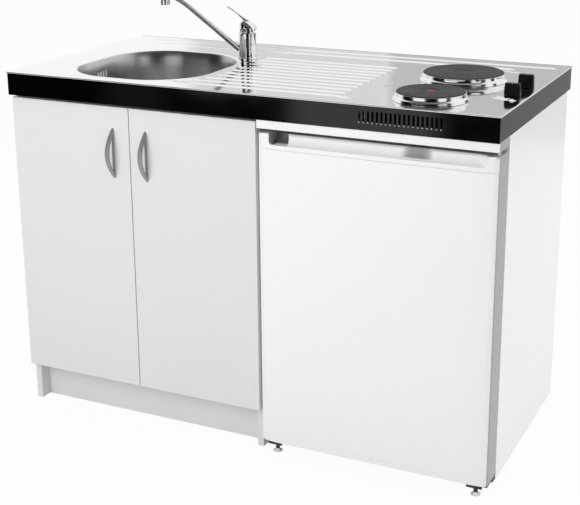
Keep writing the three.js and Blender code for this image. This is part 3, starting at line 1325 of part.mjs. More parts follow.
// ---------------------------------------------------------------- refrigerator fittings
function makeFridgeFittings() {
  const glassLeft = INNER.left + FIT;
  const glassRight = INNER.right - FIT;
  const glassBack = INNER.back - FIT;
  const sheet = (z) => box(glassLeft, glassRight, SHELF_FRONT_Y, glassBack, z, z + GLASS);
  piece("glass_shelf", "glass", sheet(MID_SHELF_Z));
  const coverZ = HUMP_TOP + 2 * FIT + LINER_SHEET;
  piece("crisper_cover", "glass", sheet(coverZ));

  const drawerLeft = INNER.left + DRAWER_SIDE_GAP;
  const drawerRight = INNER.right - DRAWER_SIDE_GAP;
  const drawerFront = SHELF_FRONT_Y + DRAWER_LIP;
  const drawerBack = HUMP_FRONT - FIT - LINER_SHEET - 4;
  const drawerLow = INNER.bottom + FIT;
  const drawerHigh = coverZ - 10;
  const tub = box(drawerLeft, drawerRight, drawerFront, drawerBack, drawerLow, drawerHigh);
  const room = box(
    drawerLeft + DRAWER_WALL,
    drawerRight - DRAWER_WALL,
    drawerFront + DRAWER_WALL,
    drawerBack - DRAWER_WALL,
    drawerLow + DRAWER_WALL,
    drawerHigh + 1,
  );
  const middle = (drawerLeft + drawerRight) / 2;
  const lipY = drawerFront - DRAWER_LIP;
  const lip = box(middle - 90, middle + 90, lipY, drawerFront + 1, drawerHigh - 12, drawerHigh - 8);
  piece("crisper_drawer", "clearPlastic", tub.subtract(room).add(lip));

  // The ice box hangs under the ceiling; its flap hangs on a rod between two ears.
  const boxLeft = INNER.left + ICEBOX_SIDE_GAP;
  const boxRight = INNER.right - ICEBOX_SIDE_GAP;
  const boxTop = INNER.top - FIT;
  const boxLow = boxTop - ICEBOX_HEIGHT;
  const boxBack = INNER.back - FIT;
  const sleeve = box(boxLeft, boxRight, ICEBOX_FRONT_Y, boxBack, boxLow, boxTop);
  const sleeveRoom = box(
    boxLeft + ICEBOX_SHEET,
    boxRight - ICEBOX_SHEET,
    ICEBOX_FRONT_Y - 1,
    boxBack - ICEBOX_SHEET,
    boxLow + ICEBOX_SHEET,
    boxTop - ICEBOX_SHEET,
  );
  const pivotY = ICEBOX_FRONT_Y - 5;
  const pivotZ = boxTop - 5;
  const ears = [
    [boxLeft, boxLeft + 3],
    [boxRight - 3, boxRight],
  ].map((span) => box(...span, pivotY - 5, ICEBOX_FRONT_Y + 2, pivotZ - 5, boxTop));
  const pinRoom = rodX(pivotY, pivotZ, FLAP_PIN_RADIUS + FIT, boxLeft - 1, boxRight + 1);
  const icebox = sleeve.subtract(sleeveRoom).add(joined(ears)).subtract(pinRoom);
  piece("icebox", "aluminium", icebox);

  const flapLow = boxLow + 2;
  const half = FLAP_THICK / 2;
  const earRoom = 3 + FIT;
  const plate = box(
    boxLeft + earRoom,
    boxRight - earRoom,
    pivotY - half,
    pivotY + half,
    flapLow,
    pivotZ,
  );
  const rod = rodX(pivotY, pivotZ, FLAP_PIN_RADIUS, boxLeft + 0.5, boxRight - 0.5);
  const centre = (boxLeft + boxRight) / 2;
  const pull = box(centre - 35, centre + 35, pivotY - half - 7, pivotY, flapLow + 8, flapLow + 12);
  piece("icebox_flap", "whitePlastic", joined([plate, rod, pull]));

  const dialY = FRIDGE_BODY_Y + THERMOSTAT_SETBACK;
  const dialBack = INNER.right - FIT;
  const dialFront = dialBack - THERMOSTAT_THICK;
  const dial = rodX(dialY, THERMOSTAT_Z, THERMOSTAT_RADIUS, dialFront + 5, dialBack, 24);
  const grip = box(
    dialFront,
    dialFront + 6,
    dialY - 4,
    dialY + 4,
    THERMOSTAT_Z - THERMOSTAT_RADIUS + 2,
    THERMOSTAT_Z + THERMOSTAT_RADIUS - 2,
  );
  piece("thermostat_knob", "whitePlastic", dial.add(grip));
}

// ---------------------------------------------------------------- assembly
makeFrame();
makeSteelTop();
makeWaste();
makeTap();
makeHob();
makeCabinet();
makeDoor("left");
makeDoor("right");
makeFridgeBody();
makeFridgeBase();
makeCondenser();
makeFridgeDoor();
makeFridgeFittings();

PIECE_PARENTS.tap.position.set(TAP_X, TAP_Y, TOP_HEIGHT);
PIECE_PARENTS.tap.rotation.z = THREE.MathUtils.degToRad(TAP_TURN_DEG);
PIECE_PARENTS.unit.add(PIECE_PARENTS.tap);
PIECE_PARENTS.unit.position.set(-TOP_WIDTH / 2, -(UNIT_FRONT_Y + TOP_DEPTH) / 2, 0);

const kitchenette = new THREE.Group();
kitchenette.add(PIECE_PARENTS.unit);
export default kitchenette;
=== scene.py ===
# Dresses the 1.2 m kitchenette: pressed steel top, black band, melamine doors, tap, hotplates
# and refrigerator. Lengths are written in millimetres from the floor point under the top's
# front left corner, and at() turns them into the frame's metres.
import json
import math

import bmesh
import bpy
from mathutils import Matrix, Vector


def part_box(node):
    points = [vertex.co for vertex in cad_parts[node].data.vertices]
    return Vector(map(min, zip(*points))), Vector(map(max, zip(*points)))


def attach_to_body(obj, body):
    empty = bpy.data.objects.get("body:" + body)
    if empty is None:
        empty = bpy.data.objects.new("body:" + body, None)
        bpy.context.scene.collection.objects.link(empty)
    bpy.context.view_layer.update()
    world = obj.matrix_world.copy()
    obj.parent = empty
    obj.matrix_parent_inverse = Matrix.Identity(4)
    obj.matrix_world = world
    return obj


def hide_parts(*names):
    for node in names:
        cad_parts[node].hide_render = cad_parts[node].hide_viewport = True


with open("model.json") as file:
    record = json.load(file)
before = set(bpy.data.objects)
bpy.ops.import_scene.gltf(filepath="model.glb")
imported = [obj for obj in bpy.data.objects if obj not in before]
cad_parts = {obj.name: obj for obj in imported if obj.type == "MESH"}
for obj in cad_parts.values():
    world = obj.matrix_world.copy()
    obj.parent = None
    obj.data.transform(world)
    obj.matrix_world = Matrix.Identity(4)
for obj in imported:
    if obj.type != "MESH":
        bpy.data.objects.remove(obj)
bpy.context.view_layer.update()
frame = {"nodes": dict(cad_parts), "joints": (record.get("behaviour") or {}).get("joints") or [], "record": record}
scene = bpy.context.scene
scene.view_settings.view_transform = "Standard"

MM = 0.001
TOP_LOW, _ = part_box("steel_top")
CORNER = Vector((TOP_LOW.x, TOP_LOW.y, 0.0))
WIDTH = 1200.0
DEPTH = 600.0
DECK = 850.0
SHEET = 1.2


def at(x, y, z):
    """A point given in millimetres from the corner, in the frame's metres."""
    return Vector((x * MM, y * MM, z * MM)) + CORNER


def span(node):
    """A node's box as its lowest and highest corners in millimetres from the corner."""
    low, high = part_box(node)
    return (low - CORNER) / MM, (high - CORNER) / MM


def centre_of(node):
    """The middle of a node's box on the floor plan, in millimetres from the corner."""
    low, high = span(node)
    return (low.x + high.x) / 2.0, (low.y + high.y) / 2.0


def clamp(value, low=0.0, high=1.0):
    return min(max(value, low), high)


def turns(count):
    """Equally spaced angles round a full turn."""
    return [2.0 * math.pi * i / count for i in range(count)]


def squared(angle, wide_power, deep_power):
    """A point of the unit circle drawn towards a square by powers below one."""
    c, s = math.cos(angle), math.sin(angle)
    return math.copysign(abs(c) ** wide_power, c), math.copysign(abs(s) ** deep_power, s)


# ---- camera
VIEW_AZIMUTH = 25.41
VIEW_DROP = 16.31
VIEW_ROLL = -0.36
VIEW_PLACE = (1843, -2298, 1383)
VIEW_SHIFT = (-0.008, -0.10)
FOCAL_PIXELS = 1231.0
IMAGE_WIDTH = 580.0
SENSOR = 36.0


def make_camera():
    data = bpy.data.cameras.new("camera")
    data.sensor_width = SENSOR
    data.lens = FOCAL_PIXELS * SENSOR / IMAGE_WIDTH
    data.shift_x, data.shift_y = VIEW_SHIFT
    camera = bpy.data.objects.new("camera", data)
    place = Matrix.Translation(at(*VIEW_PLACE))
    for angle, axis in ((VIEW_AZIMUTH, "Z"), (90.0 - VIEW_DROP, "X"), (VIEW_ROLL, "Z")):
        place = place @ Matrix.Rotation(math.radians(angle), 4, axis)
    camera.matrix_world = place
    scene.collection.objects.link(camera)
    scene.camera = camera


make_camera()


# ---- finishes
def feed(tree, socket, value):
    """Links a socket to another one, or gives it a value."""
    if isinstance(value, bpy.types.NodeSocket):
        tree.links.new(value, socket)
    else:
        socket.default_value = value


def new_node(tree, kind, **inputs):
    """A node with its inputs fed by name; an underscore stands for a space."""
    made = tree.nodes.new(kind)
    for name, value in inputs.items():
        feed(tree, made.inputs[name.replace("_", " ")], value)
    return made


def joined_values(tree, operation, first, second):
    """The result of a sum or another operation on two values."""
    made = tree.nodes.new("ShaderNodeMath")
    made.operation = operation
    feed(tree, made.inputs[0], first)
    feed(tree, made.inputs[1], second)
    return made.outputs[0]


class Finish:
    """One material in the making: its node tree, its shader and the object's coordinates."""

    def __init__(self, name, **settings):
        self.material = bpy.data.materials.new(name)
        self.material.use_nodes = True
        self.tree = self.material.node_tree
        self.shader = self.tree.nodes["Principled BSDF"]
        self.place = self.node("ShaderNodeTexCoord").outputs["Object"]
        for socket, value in settings.items():
            self.shader.inputs[socket.replace("_", " ")].default_value = value

    def node(self, kind, **inputs):
        return new_node(self.tree, kind, **inputs)

    def feed(self, socket, value):
        feed(self.tree, socket, value)

    def noise(self, scale, detail=2.0, roughness=0.5, stretch=None):
        where = self.place
        if stretch:
            where = self.node("ShaderNodeMapping", Vector=where, Scale=stretch).outputs[0]
        made = self.node("ShaderNodeTexNoise", Vector=where, Scale=scale, Detail=detail,
                         Roughness=roughness)
        return made.outputs[0]

    def between(self, value, low, high, start=0.2, end=0.8):
        made = self.node("ShaderNodeMapRange", Value=value)
        for index, number in ((1, start), (2, end), (3, low), (4, high)):
            made.inputs[index].default_value = number
        return made.outputs[0]

    def blend(self, factor, first, second):
        made = self.tree.nodes.new("ShaderNodeMix")
        made.data_type = "RGBA"
        for index, value in ((0, factor), (6, first), (7, second)):
            self.feed(made.inputs[index], value)
        return made.outputs[2]

    def colour(self, factor, first, second):
        mixed = self.blend(factor, (*first, 1.0), (*second, 1.0))
        self.feed(self.shader.inputs["Base Color"], mixed)

    def rough(self, value):
        self.feed(self.shader.inputs["Roughness"], value)

    def relief(self, height, strength, distance):
        bump = self.node("ShaderNodeBump", Height=height, Strength=strength, Distance=distance)
        self.feed(self.shader.inputs["Normal"], bump.outputs[0])


def grey(value, warm=0.0):
    return (value + warm, value, value - warm)


def trim_finish_with_painted_shade():
    """White moulding with painted shade: it turns to grey where the mesh's shade attribute says so."""
    f = Finish("scooped_trim_moulding")
    shade = f.tree.nodes.new("ShaderNodeAttribute")
    shade.attribute_name = "shade"
    cloud = f.between(f.noise(12.0, 3.0), 0.0, 1.0)
    white = f.blend(cloud, (*grey(0.885), 1.0), (*grey(0.905), 1.0))
    # The grey that the shade attribute mixes in is painted shade.
    dark = f.blend(cloud, (*grey(0.085), 1.0), (*grey(0.1), 1.0))
    mixed = f.blend(shade.outputs["Fac"], white, dark)
    f.feed(f.shader.inputs["Base Color"], mixed)
    f.rough(f.between(f.noise(60.0, 3.0), 0.22, 0.28))
    return f.material


def mottled_finish(name, tones, sheen, grain=None, **settings):
    """Noise between two tones and two roughnesses, and a grain in relief if one is given.

    Each of the three ends with its noise's scale, detail, roughness and stretch.
    """
    f = Finish(name, **settings)
    dark, light, *noise = tones
    f.colour(f.between(f.noise(*noise), 0.0, 1.0), dark, light)
    smooth, coarse, *noise = sheen
    f.rough(f.between(f.noise(*noise), smooth, coarse))
    if grain:
        strength, distance, *noise = grain
        f.relief(f.noise(*noise), strength, distance)
    return f.material


def enamel_finish():
    f = Finish("white_enamel_coat", Coat_Weight=0.2, Coat_Roughness=0.1)
    cloud = f.noise(160.0, 3.0, 0.7)
    f.colour(f.between(cloud, 0.0, 1.0, 0.0, 1.0), grey(0.885), grey(0.915))
    f.rough(f.between(f.noise(40.0, 2.0), 0.27, 0.31, 0.0, 1.0))
    f.relief(cloud, 0.01, 0.0001)
    return f.material


def moulded_finish(name, colour, smooth=0.4, coarse=0.5, fleck=0.01, shine=0.5):
    darker = tuple(max(c - fleck, 0.0) for c in colour)
    return mottled_finish(name, (darker, colour, 12.0, 3.0), (smooth, coarse, 60.0, 3.0),
                          (0.08, 0.0001, 900.0, 2.0), Specular_IOR_Level=shine)


def brushed_finish(name, level, smooth, coarse, along=(5.0, 900.0, 900.0), pull=0.06, metal=1.0):
    f = Finish(name, Metallic=metal)
    lines = f.noise(1.0, 3.0, 0.6, along)
    f.colour(f.between(lines, 0.0, 1.0), grey(level - 0.05), grey(level + 0.03))
    clouded = joined_values(f.tree, "ADD", lines, f.noise(7.0, 2.0))
    f.rough(f.between(clouded, smooth, coarse, 0.6, 1.4))
    f.relief(lines, pull, 0.0001)
    return f.material


def chrome_finish(name, smooth, coarse):
    return mottled_finish(name, (grey(0.8, -0.004), grey(0.86), 35.0, 3.0),
                          (smooth, coarse, 90.0, 4.0), Metallic=1.0)


def zinc_finish():
    f = Finish("zinc_coating", Metallic=1.0)
    cells = f.node("ShaderNodeTexVoronoi", Vector=f.place, Scale=90.0)
    split = f.node("ShaderNodeSeparateColor", Color=cells.outputs["Color"])
    f.colour(split.outputs[0], grey(0.5, -0.005), grey(0.64, -0.005))
    f.rough(f.between(split.outputs[1], 0.34, 0.5, 0.0, 1.0))
    return f.material


def clear_finish(name, tint, smooth, coarse, weight):
    deeper = tuple(c * 0.93 for c in tint)
    return mottled_finish(name, (deeper, tint, 9.0, 2.0), (smooth, coarse, 80.0, 3.0),
                          Transmission_Weight=weight, IOR=1.49)


BOARD_GRAIN = (1400.0, 3.0, 0.6)
IRON_GRAIN = (700.0, 4.0, 0.7)
DUST = (220.0, 4.0, 0.7)
WHITE_DOOR = mottled_finish("white_melamine", (grey(0.748, 0.001), grey(0.768), 2.5, 2.0),
                            (0.38, 0.5, *BOARD_GRAIN), (0.12, 0.0002, *BOARD_GRAIN))
ENAMEL = enamel_finish()
TRIM_WITH_PAINTED_SHADE = trim_finish_with_painted_shade()
WHITE_PLASTIC = moulded_finish("white_moulding", grey(0.9), 0.22, 0.28, 0.008)
INNER_PLASTIC = moulded_finish("inner_moulding", grey(0.82, 0.003), 0.26, 0.36)
DECK_STEEL = brushed_finish("polished_deck_steel", 0.88, 0.05, 0.1, pull=0.02)
BOWL_STEEL = brushed_finish("satin_bowl_steel", 0.56, 0.27, 0.34, (60.0, 60.0, 900.0))
# Painted shade: dark steel on the top's back and left lips.
PAINTED_SHADE_LIP_STEEL = brushed_finish("shaded_lip_steel", 0.12, 0.3, 0.4)
CHROME = chrome_finish("chrome_plate", 0.03, 0.075)
RING_CHROME = chrome_finish("pressed_ring_chrome", 0.12, 0.17)
NICKEL = brushed_finish("satin_nickel_plate", 0.33, 0.36, 0.46, (900.0, 900.0, 8.0), metal=0.5)
BLACK_GLOSS = mottled_finish("black_gloss_band", (grey(0.0008), grey(0.0016), 30.0, 3.0),
                             (0.06, 0.09, 15.0, 2.0), (0.02, 0.0001, 500.0, 1.0), IOR=1.5)
IRON = mottled_finish("cast_iron_coating", (grey(0.026), grey(0.042), *IRON_GRAIN),
                      (0.42, 0.58, 120.0, 3.0), (0.3, 0.0003, *IRON_GRAIN),
                      Specular_IOR_Level=0.15)
RED_MARK = mottled_finish("red_plate_mark", ((0.2, 0.022, 0.03), (0.27, 0.03, 0.04), 400.0, 3.0),
                          (0.4, 0.55, 200.0), Specular_IOR_Level=0.2)
BLACK_PLASTIC = moulded_finish("black_moulding", grey(0.006), 0.26, 0.36, 0.003, 0.1)
# Grey for the faces that turn right on the fridge door panel, apron and trim.
GREY_RIGHT_FACES = moulded_finish("grey_edge_moulding", grey(0.4))
# Painted shade for the fridge apron's underside.
UNDERSIDE_PAINTED_SHADE = moulded_finish("grey_recess_moulding", grey(0.24))
# Painted light: brighter than the melamine, for the right door's edge in the gap by the fridge.
EDGE_PAINTED_LIGHT = moulded_finish("pale_edge_band", grey(0.95))
# White print on the knob pointers, and painted highlights under the vent slots.
WHITE_PRINT_AND_PAINTED_HIGHLIGHT = moulded_finish("white_print", grey(0.7))
PAD_PLASTIC = moulded_finish("pale_pad_moulding", grey(0.9))
ZINC = zinc_finish()
RUBBER = mottled_finish("grey_seal", (grey(0.26), grey(0.33), *DUST), (0.6, 0.75, *DUST),
                        (0.15, 0.0003, *DUST))
CLEAR = clear_finish("clear_moulding", (0.86, 0.93, 0.95), 0.05, 0.12, 0.9)
GLASS = clear_finish("shelf_glass", (0.84, 0.94, 0.9), 0.0, 0.03, 0.95)
ALUMINIUM = brushed_finish("bare_aluminium", 0.7, 0.32, 0.44, (900.0, 7.0, 900.0))
BLACK_STEEL = moulded_finish("black_painted_steel", grey(0.022), 0.35, 0.5, 0.008)
FIBRE = (1.0, 4.0, 0.7, (300.0, 300.0, 120.0))
HARDBOARD = mottled_finish("painted_hardboard", ((0.66, 0.65, 0.62), (0.76, 0.75, 0.72), *FIBRE),
                           (0.65, 0.8, *FIBRE), (0.2, 0.0003, *FIBRE))

SLOT_FINISHES = {
    "white_board": WHITE_DOOR,
    "hardboard": HARDBOARD,
    "brushed_steel": DECK_STEEL,
    "black_gloss": BLACK_GLOSS,
    "chrome": CHROME,
    "satin_nickel": NICKEL,
    "cast_iron": IRON,
    "black_plastic": BLACK_PLASTIC,
    "galvanised_steel": ZINC,
    "white_enamel": ENAMEL,
    "white_plastic": WHITE_PLASTIC,
    "grey_rubber": RUBBER,
    "clear_plastic": CLEAR,
    "glass": GLASS,
    "aluminium": ALUMINIUM,
    "black_steel": BLACK_STEEL,
}
NODE_SLOT = {part["node"]: part["material_slot"] for part in frame["record"]["subparts"]}
NODE_BODY = {
    node: body
    for body, nodes in frame["record"]["behaviour"]["bodies"].items()
    for node in nodes
}


def finish_of(node):
    return SLOT_FINISHES[NODE_SLOT[node]]


# ---- forms
AXIS_RADIUS = 0.02
ACROSS = Vector((0, 1, 0))
CREASE = 38.0
FLAT_ANGLE = 0.8
BEVEL_ANGLE = 32.0


class Form:
    """Vertices and faces of one piece, gathered shell by shell."""

    def __init__(self):
        self.vertices = []
        self.faces = []
        self.materials = []

    def rings(self, rings, joined=False, material=0):
        """A skin over rings of points; joined closes the last ring on the first."""
        count = len(rings[0])
        base = len(self.vertices)
        for ring in rings:
            self.vertices.extend(ring)
        last = len(rings) if joined else len(rings) - 1
        for r in range(last):
            low = base + r * count
            high = base + ((r + 1) % len(rings)) * count
            for i in range(count):
                j = (i + 1) % count
                self.face([low + i, low + j, high + j, high + i], material)
        if not joined:
            self.face([base + i for i in reversed(range(count))], material)
            self.face([base + (len(rings) - 1) * count + i for i in range(count)], material)

    def face(self, corners, material=0):
        self.faces.append(corners)
        self.materials.append(material)

    def turned(self, profile, centre, steps=64, closed=False, place=at, material=0):
        """A solid of revolution about the vertical through centre, from (radius, height)."""
        cx, cy = centre
        rings = []
        for radius, height in profile:
            radius = max(radius, AXIS_RADIUS)
            ring = [(cx + radius * math.cos(a), cy + radius * math.sin(a)) for a in turns(steps)]
            rings.append([place(x, y, height) for x, y in ring])
        self.rings(rings, closed, material)

    def bar(self, outline, ends, axis):
        """A flat outline carried between two places on an axis."""
        self.rings([[at(*p[:axis], end, *p[axis:]) for p in outline] for end in ends])

    def tube(self, path, radii, steps, place):
        """A tube along points of the plane across +Y."""
        rings = []
        for i, point in enumerate(path):
            before = path[max(i - 1, 0)]
            after = path[min(i + 1, len(path) - 1)]
            along = (after - before).normalized()
            side = along.cross(ACROSS).normalized()
            ring = []
            for angle in turns(steps):
                offset = side * math.cos(angle) + ACROSS * math.sin(angle)
                ring.append(place(*(point + offset * radii[i])))
            rings.append(ring)
        self.rings(rings)


def eased(points, radius, steps, closed=False):
    """A polyline whose corners are rounded; a corner takes at most 45% of its sides."""
    made = []
    count = len(points)
    for i, (x, y) in enumerate(points):
        if not closed and i in (0, count - 1):
            made.append((x, y))
            continue
        sides = [(px - x, py - y) for px, py in (points[i - 1], points[(i + 1) % count])]
        cut = min(radius, *(0.45 * math.hypot(dx, dy) for dx, dy in sides))
        start, end = ((x + dx * cut / math.hypot(dx, dy), y + dy * cut / math.hypot(dx, dy))
                      for dx, dy in sides)
        for t in (k / steps for k in range(steps + 1)):
            u = 1.0 - t
            made.append(tuple(u * u * s + 2 * u * t * p + t * t * e
                              for s, p, e in zip(start, (x, y), end)))
    return made


def rounded_rectangle(cx, cy, half_x, half_y, radius, steps):
    points = []
    for quarter, (sx, sy) in enumerate(((1, 1), (-1, 1), (-1, -1), (1, -1))):
        for i in range(steps + 1):
            angle = math.radians(90.0 * (quarter + i / steps))
            x = cx + sx * (half_x - radius) + radius * math.cos(angle)
            y = cy + sy * (half_y - radius) + radius * math.sin(angle)
            points.append((x, y))
    return points


def smooth(mesh, crease):
    mesh.shade_smooth()
    mesh.set_sharp_from_angle(angle=math.radians(crease))


def settle(obj, *materials, crease=CREASE, weighted=False):
    """Gives the piece its materials, smooths its faces and applies its modifiers."""
    for material in materials:
        obj.data.materials.append(material)
    if weighted:
        obj.modifiers.new("even", "WEIGHTED_NORMAL").keep_sharp = True
    has_faces = len(obj.data.polygons) > 0
    if has_faces:
        smooth(obj.data, crease)
    if obj.modifiers:
        depsgraph = bpy.context.evaluated_depsgraph_get()
        made = bpy.data.meshes.new_from_object(obj.evaluated_get(depsgraph))
        obj.modifiers.clear()
        obj.data = made
        if not has_faces:
            smooth(made, crease)


def paint(obj, material, chosen):
    """Gives a further material to the faces whose normal is chosen."""
    index = len(obj.data.materials)
    obj.data.materials.append(material)
    for face in obj.data.polygons:
        if chosen(face.normal):
            face.material_index = index


def attach(obj, body, slot, *replaced):
    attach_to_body(obj, body)
    if replaced:
        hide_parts(*replaced)


def new_object(name, mesh):
    obj = bpy.data.objects.new(name, mesh)
    scene.collection.objects.link(obj)
    return obj


def mesh_of(form, name, outward=True):
    mesh = bpy.data.meshes.new(name)
    mesh.from_pydata([tuple(v) for v in form.vertices], [], form.faces)
    work = bmesh.new()
    work.from_mesh(mesh)
    for face, material in zip(work.faces, form.materials):
        face.material_index = material
    bmesh.ops.remove_doubles(work, verts=work.verts, dist=2e-6)
    if outward:
        bmesh.ops.recalc_face_normals(work, faces=work.faces)
    work.to_mesh(mesh)
    work.free()
    return mesh


def piece(name, form, materials, body, slot, *replaced, crease=CREASE, weighted=False):
    obj = new_object(name, mesh_of(form, name))
    settle(obj, *materials, crease=crease, weighted=weighted)
    attach(obj, body, slot, *replaced)
    return obj


def turned_piece(name, profile, centre, steps, *rest, closed=False, place=at, **smoothing):
    """A piece that is one solid of revolution."""
    form = Form()
    form.turned(profile, centre, steps, closed, place)
    piece(name, form, *rest, **smoothing)


def softened(node, width, segments=3, shape=None):
    """A copy of a node whose sharp edges are rounded, in the node's place."""
    mesh = frame["nodes"][node].data.copy()
    mesh.materials.clear()
    work = bmesh.new()
    work.from_mesh(mesh)
    bmesh.ops.remove_doubles(work, verts=work.verts, dist=1e-5)
    flat = math.radians(FLAT_ANGLE)
    bmesh.ops.dissolve_limit(work, angle_limit=flat, verts=work.verts, edges=work.edges)
    if shape:
        shape(work, *span(node))
    work.to_mesh(mesh)
    work.free()
    obj = new_object(node + "_finished", mesh)
    bevel = obj.modifiers.new("edges", "BEVEL")
    bevel.width = width * MM
    bevel.segments = segments
    bevel.limit_method = "ANGLE"
    bevel.angle_limit = math.radians(BEVEL_ANGLE)
    bevel.use_clamp_overlap = True
    settle(obj, finish_of(node), weighted=True)
    attach(obj, NODE_BODY[node], NODE_SLOT[node], node)
    return obj


# ---- steel top
BOWL = (278.0, 231.0)
BOWL_HALF = (173.0, 189.0)
BOWL_CORNER = 140.0
WASTE_RADIUS = 45.5
RIDGE_COUNT = 11
RIDGE_FRONT = 58.0
RIDGE_PITCH = 35.0
RIDGE_RIGHT = 832.0
RIDGE_HALF = 8.0
RIDGE_HEIGHT = 2.4
RIDGE_FROM_RIM = 26.0
RIDGE_FROM_TAP = 36.0
LIP_DROP = 2.4
LIP_RADIUS = 1.4
FAR_LIP = 6.5
PATCH_LEFT = 12.0
PATCH_RIGHT = 500.0
POLISHED_DROP = 3.0
# The two long ridges behind, the curl and the line by the knobs, the first ridge's kinked end
# and the fold beside the hob, as (x0, y0, x1, y1, half width, height).
LONE_LINES = [
    (98.0, 500.0, 1082.0, 500.0, RIDGE_HALF, RIDGE_HEIGHT),
    (78.0, 548.0, 1167.0, 548.0, RIDGE_HALF, RIDGE_HEIGHT),
    (1141.0, 179.0, 1178.0, 158.0, 7.0, 4.2),
    (1068.0, 475.0, 1102.0, 467.0, 6.0, 1.6),
    (RIDGE_RIGHT - RIDGE_HALF, RIDGE_FRONT, 846.0, 50.0, RIDGE_HALF, RIDGE_HEIGHT),
    (845.0, 377.0, 886.0, 70.0, 3.0, 0.5),
]
# The deck's grid: columns up to an x with their pitch, then the pitches beyond and of the rows.
COLUMNS = [(PATCH_RIGHT, 8.0), (RIDGE_RIGHT - 16.0, 12.0), (RIDGE_RIGHT + 4.0, 2.5)]
HOB_PITCH = 11.0
ROW_PITCH = 3.3


def rim_right(y):
    """The bowl rim's rightmost x at a given y."""
    straight = BOWL_HALF[1] - BOWL_CORNER
    past = clamp(abs(y - BOWL[1]) - straight, 0.0, BOWL_CORNER)
    return BOWL[0] + BOWL_HALF[0] - BOWL_CORNER + math.sqrt(BOWL_CORNER**2 - past**2)


def joint_place(name):
    joint = next(j for j in frame["joints"] if j["name"] == name)
    return (Vector(joint["pos_m"]) - CORNER) / MM


TAP = joint_place("spout_swivel")


def pressed_lines():
    lines = []
    for i in range(RIDGE_COUNT):
        y = RIDGE_FRONT + i * RIDGE_PITCH
        start = rim_right(y) + RIDGE_FROM_RIM
        if abs(y - TAP.y) < RIDGE_FROM_TAP:
            start = max(start, TAP.x + RIDGE_FROM_TAP)
        left = start + RIDGE_HALF
        lines.append((left, y, RIDGE_RIGHT - RIDGE_HALF, y, RIDGE_HALF, RIDGE_HEIGHT))
    return lines + LONE_LINES


PRESSED = pressed_lines()


def deck_height(x, y):
    height = 0.0
    for x0, y0, x1, y1, half, rise in PRESSED:
        if y < min(y0, y1) - half or y > max(y0, y1) + half:
            continue
        if x < min(x0, x1) - half or x > max(x0, x1) + half:
            continue
        dx, dy = x1 - x0, y1 - y0
        t = clamp(((x - x0) * dx + (y - y0) * dy) / (dx * dx + dy * dy))
        away = math.hypot(x - x0 - t * dx, y - y0 - t * dy)
        if away < half:
            height = max(height, rise * 0.5 * (1.0 + math.cos(math.pi * away / half)))
    edge = min(x, WIDTH - x, y, DEPTH - y)
    if edge < LIP_RADIUS:
        height -= LIP_RADIUS - math.sqrt(LIP_RADIUS**2 - (LIP_RADIUS - edge) ** 2)
    return height


def steps_between(start, end, pitch):
    count = max(1, round((end - start) / pitch))
    return [start + (end - start) * i / count for i in range(1, count + 1)]


def grid_lines(length, inner_pitch, breaks):
    """Grid lines over a side: doubled at the lip, fine at the rounding, then evenly spaced."""
    edge = [0.0, 0.0, 0.25, 0.7, LIP_RADIUS, 6.0, PATCH_LEFT]
    lines = list(edge)
    for target, pitch in (*breaks, (length - PATCH_LEFT, inner_pitch)):
        lines += steps_between(lines[-1], target, pitch)
    return lines + [length - value for value in reversed(edge[:-1])]


RAY_LENGTH = 400.0
HALVINGS = 30


def rim_point(centre, half, corner, direction):
    """Where a ray from the bowl's middle crosses a rounded rectangle."""
    dx, dy = direction
    low, high = 0.0, RAY_LENGTH
    for _ in range(HALVINGS):
        mid = (low + high) / 2.0
        x, y = abs(dx * mid), abs(dy * mid)
        over_x, over_y = x - (half[0] - corner), y - (half[1] - corner)
        if over_x > 0.0 and over_y > 0.0:
            outside = math.hypot(over_x, over_y) > corner
        else:
            outside = x > half[0] or y > half[1]
        low, high = (low, mid) if outside else (mid, high)
    return centre[0] + dx * low, centre[1] + dy * low


# Inward step from the rim and drop below the deck, from the rim's edge to the floor.
BOWL_WALL = [(-4, 0), (-1, 0.4), (1.2, 2.0), (2.8, 5.5), (4.6, 12), (7, 20), (9.4, 45),
             (12.2, 70), (15.4, 95), (19.5, 113), (25, 128), (32, 138.5), (41, 145.5),
             (51, 149), (62, 150)]
FLOOR_RINGS = 5
DECK_RINGS = 22
POLISHED, SATIN, LIP_PAINTED_SHADE = 0, 1, 2


def drawn(first, last, count, height):
    """Rings that lead from one outline to another, at the heights that a function gives."""
    rings = []
    for step in range(1, count + 1):
        t = step / count
        ring = [(x0 + (x1 - x0) * t, y0 + (y1 - y0) * t) for (x0, y0), (x1, y1) in zip(first, last)]
        rings.append([at(x, y, height(x, y)) for x, y in ring])
    return rings


def bowl_rings(border):
    """Rings from the patch's border over the rim to the waste, each with its material."""
    rays = []
    for x, y in border:
        dx, dy = x - BOWL[0], y - BOWL[1]
        length = math.hypot(dx, dy)
        rays.append((dx / length, dy / length))

    def ring_at(inward):
        half = (BOWL_HALF[0] - inward, BOWL_HALF[1] - inward)
        return [rim_point(BOWL, half, BOWL_CORNER - inward, ray) for ray in rays]

    rim = ring_at(BOWL_WALL[0][0])
    deck = drawn(border, rim, DECK_RINGS, lambda x, y: DECK + deck_height(x, y))
    rings = [(ring, POLISHED) for ring in deck]
    for inward, drop in BOWL_WALL[1:]:
        ring = [at(x, y, DECK - drop) for x, y in ring_at(inward)]
        rings.append((ring, POLISHED if drop < POLISHED_DROP else SATIN))
    foot, depth = BOWL_WALL[-1]
    waste = [(BOWL[0] + dx * WASTE_RADIUS, BOWL[1] + dy * WASTE_RADIUS) for dx, dy in rays]
    floor = drawn(ring_at(foot), waste, FLOOR_RINGS, lambda x, y: DECK - depth)
    return rings + [(ring, SATIN) for ring in floor]


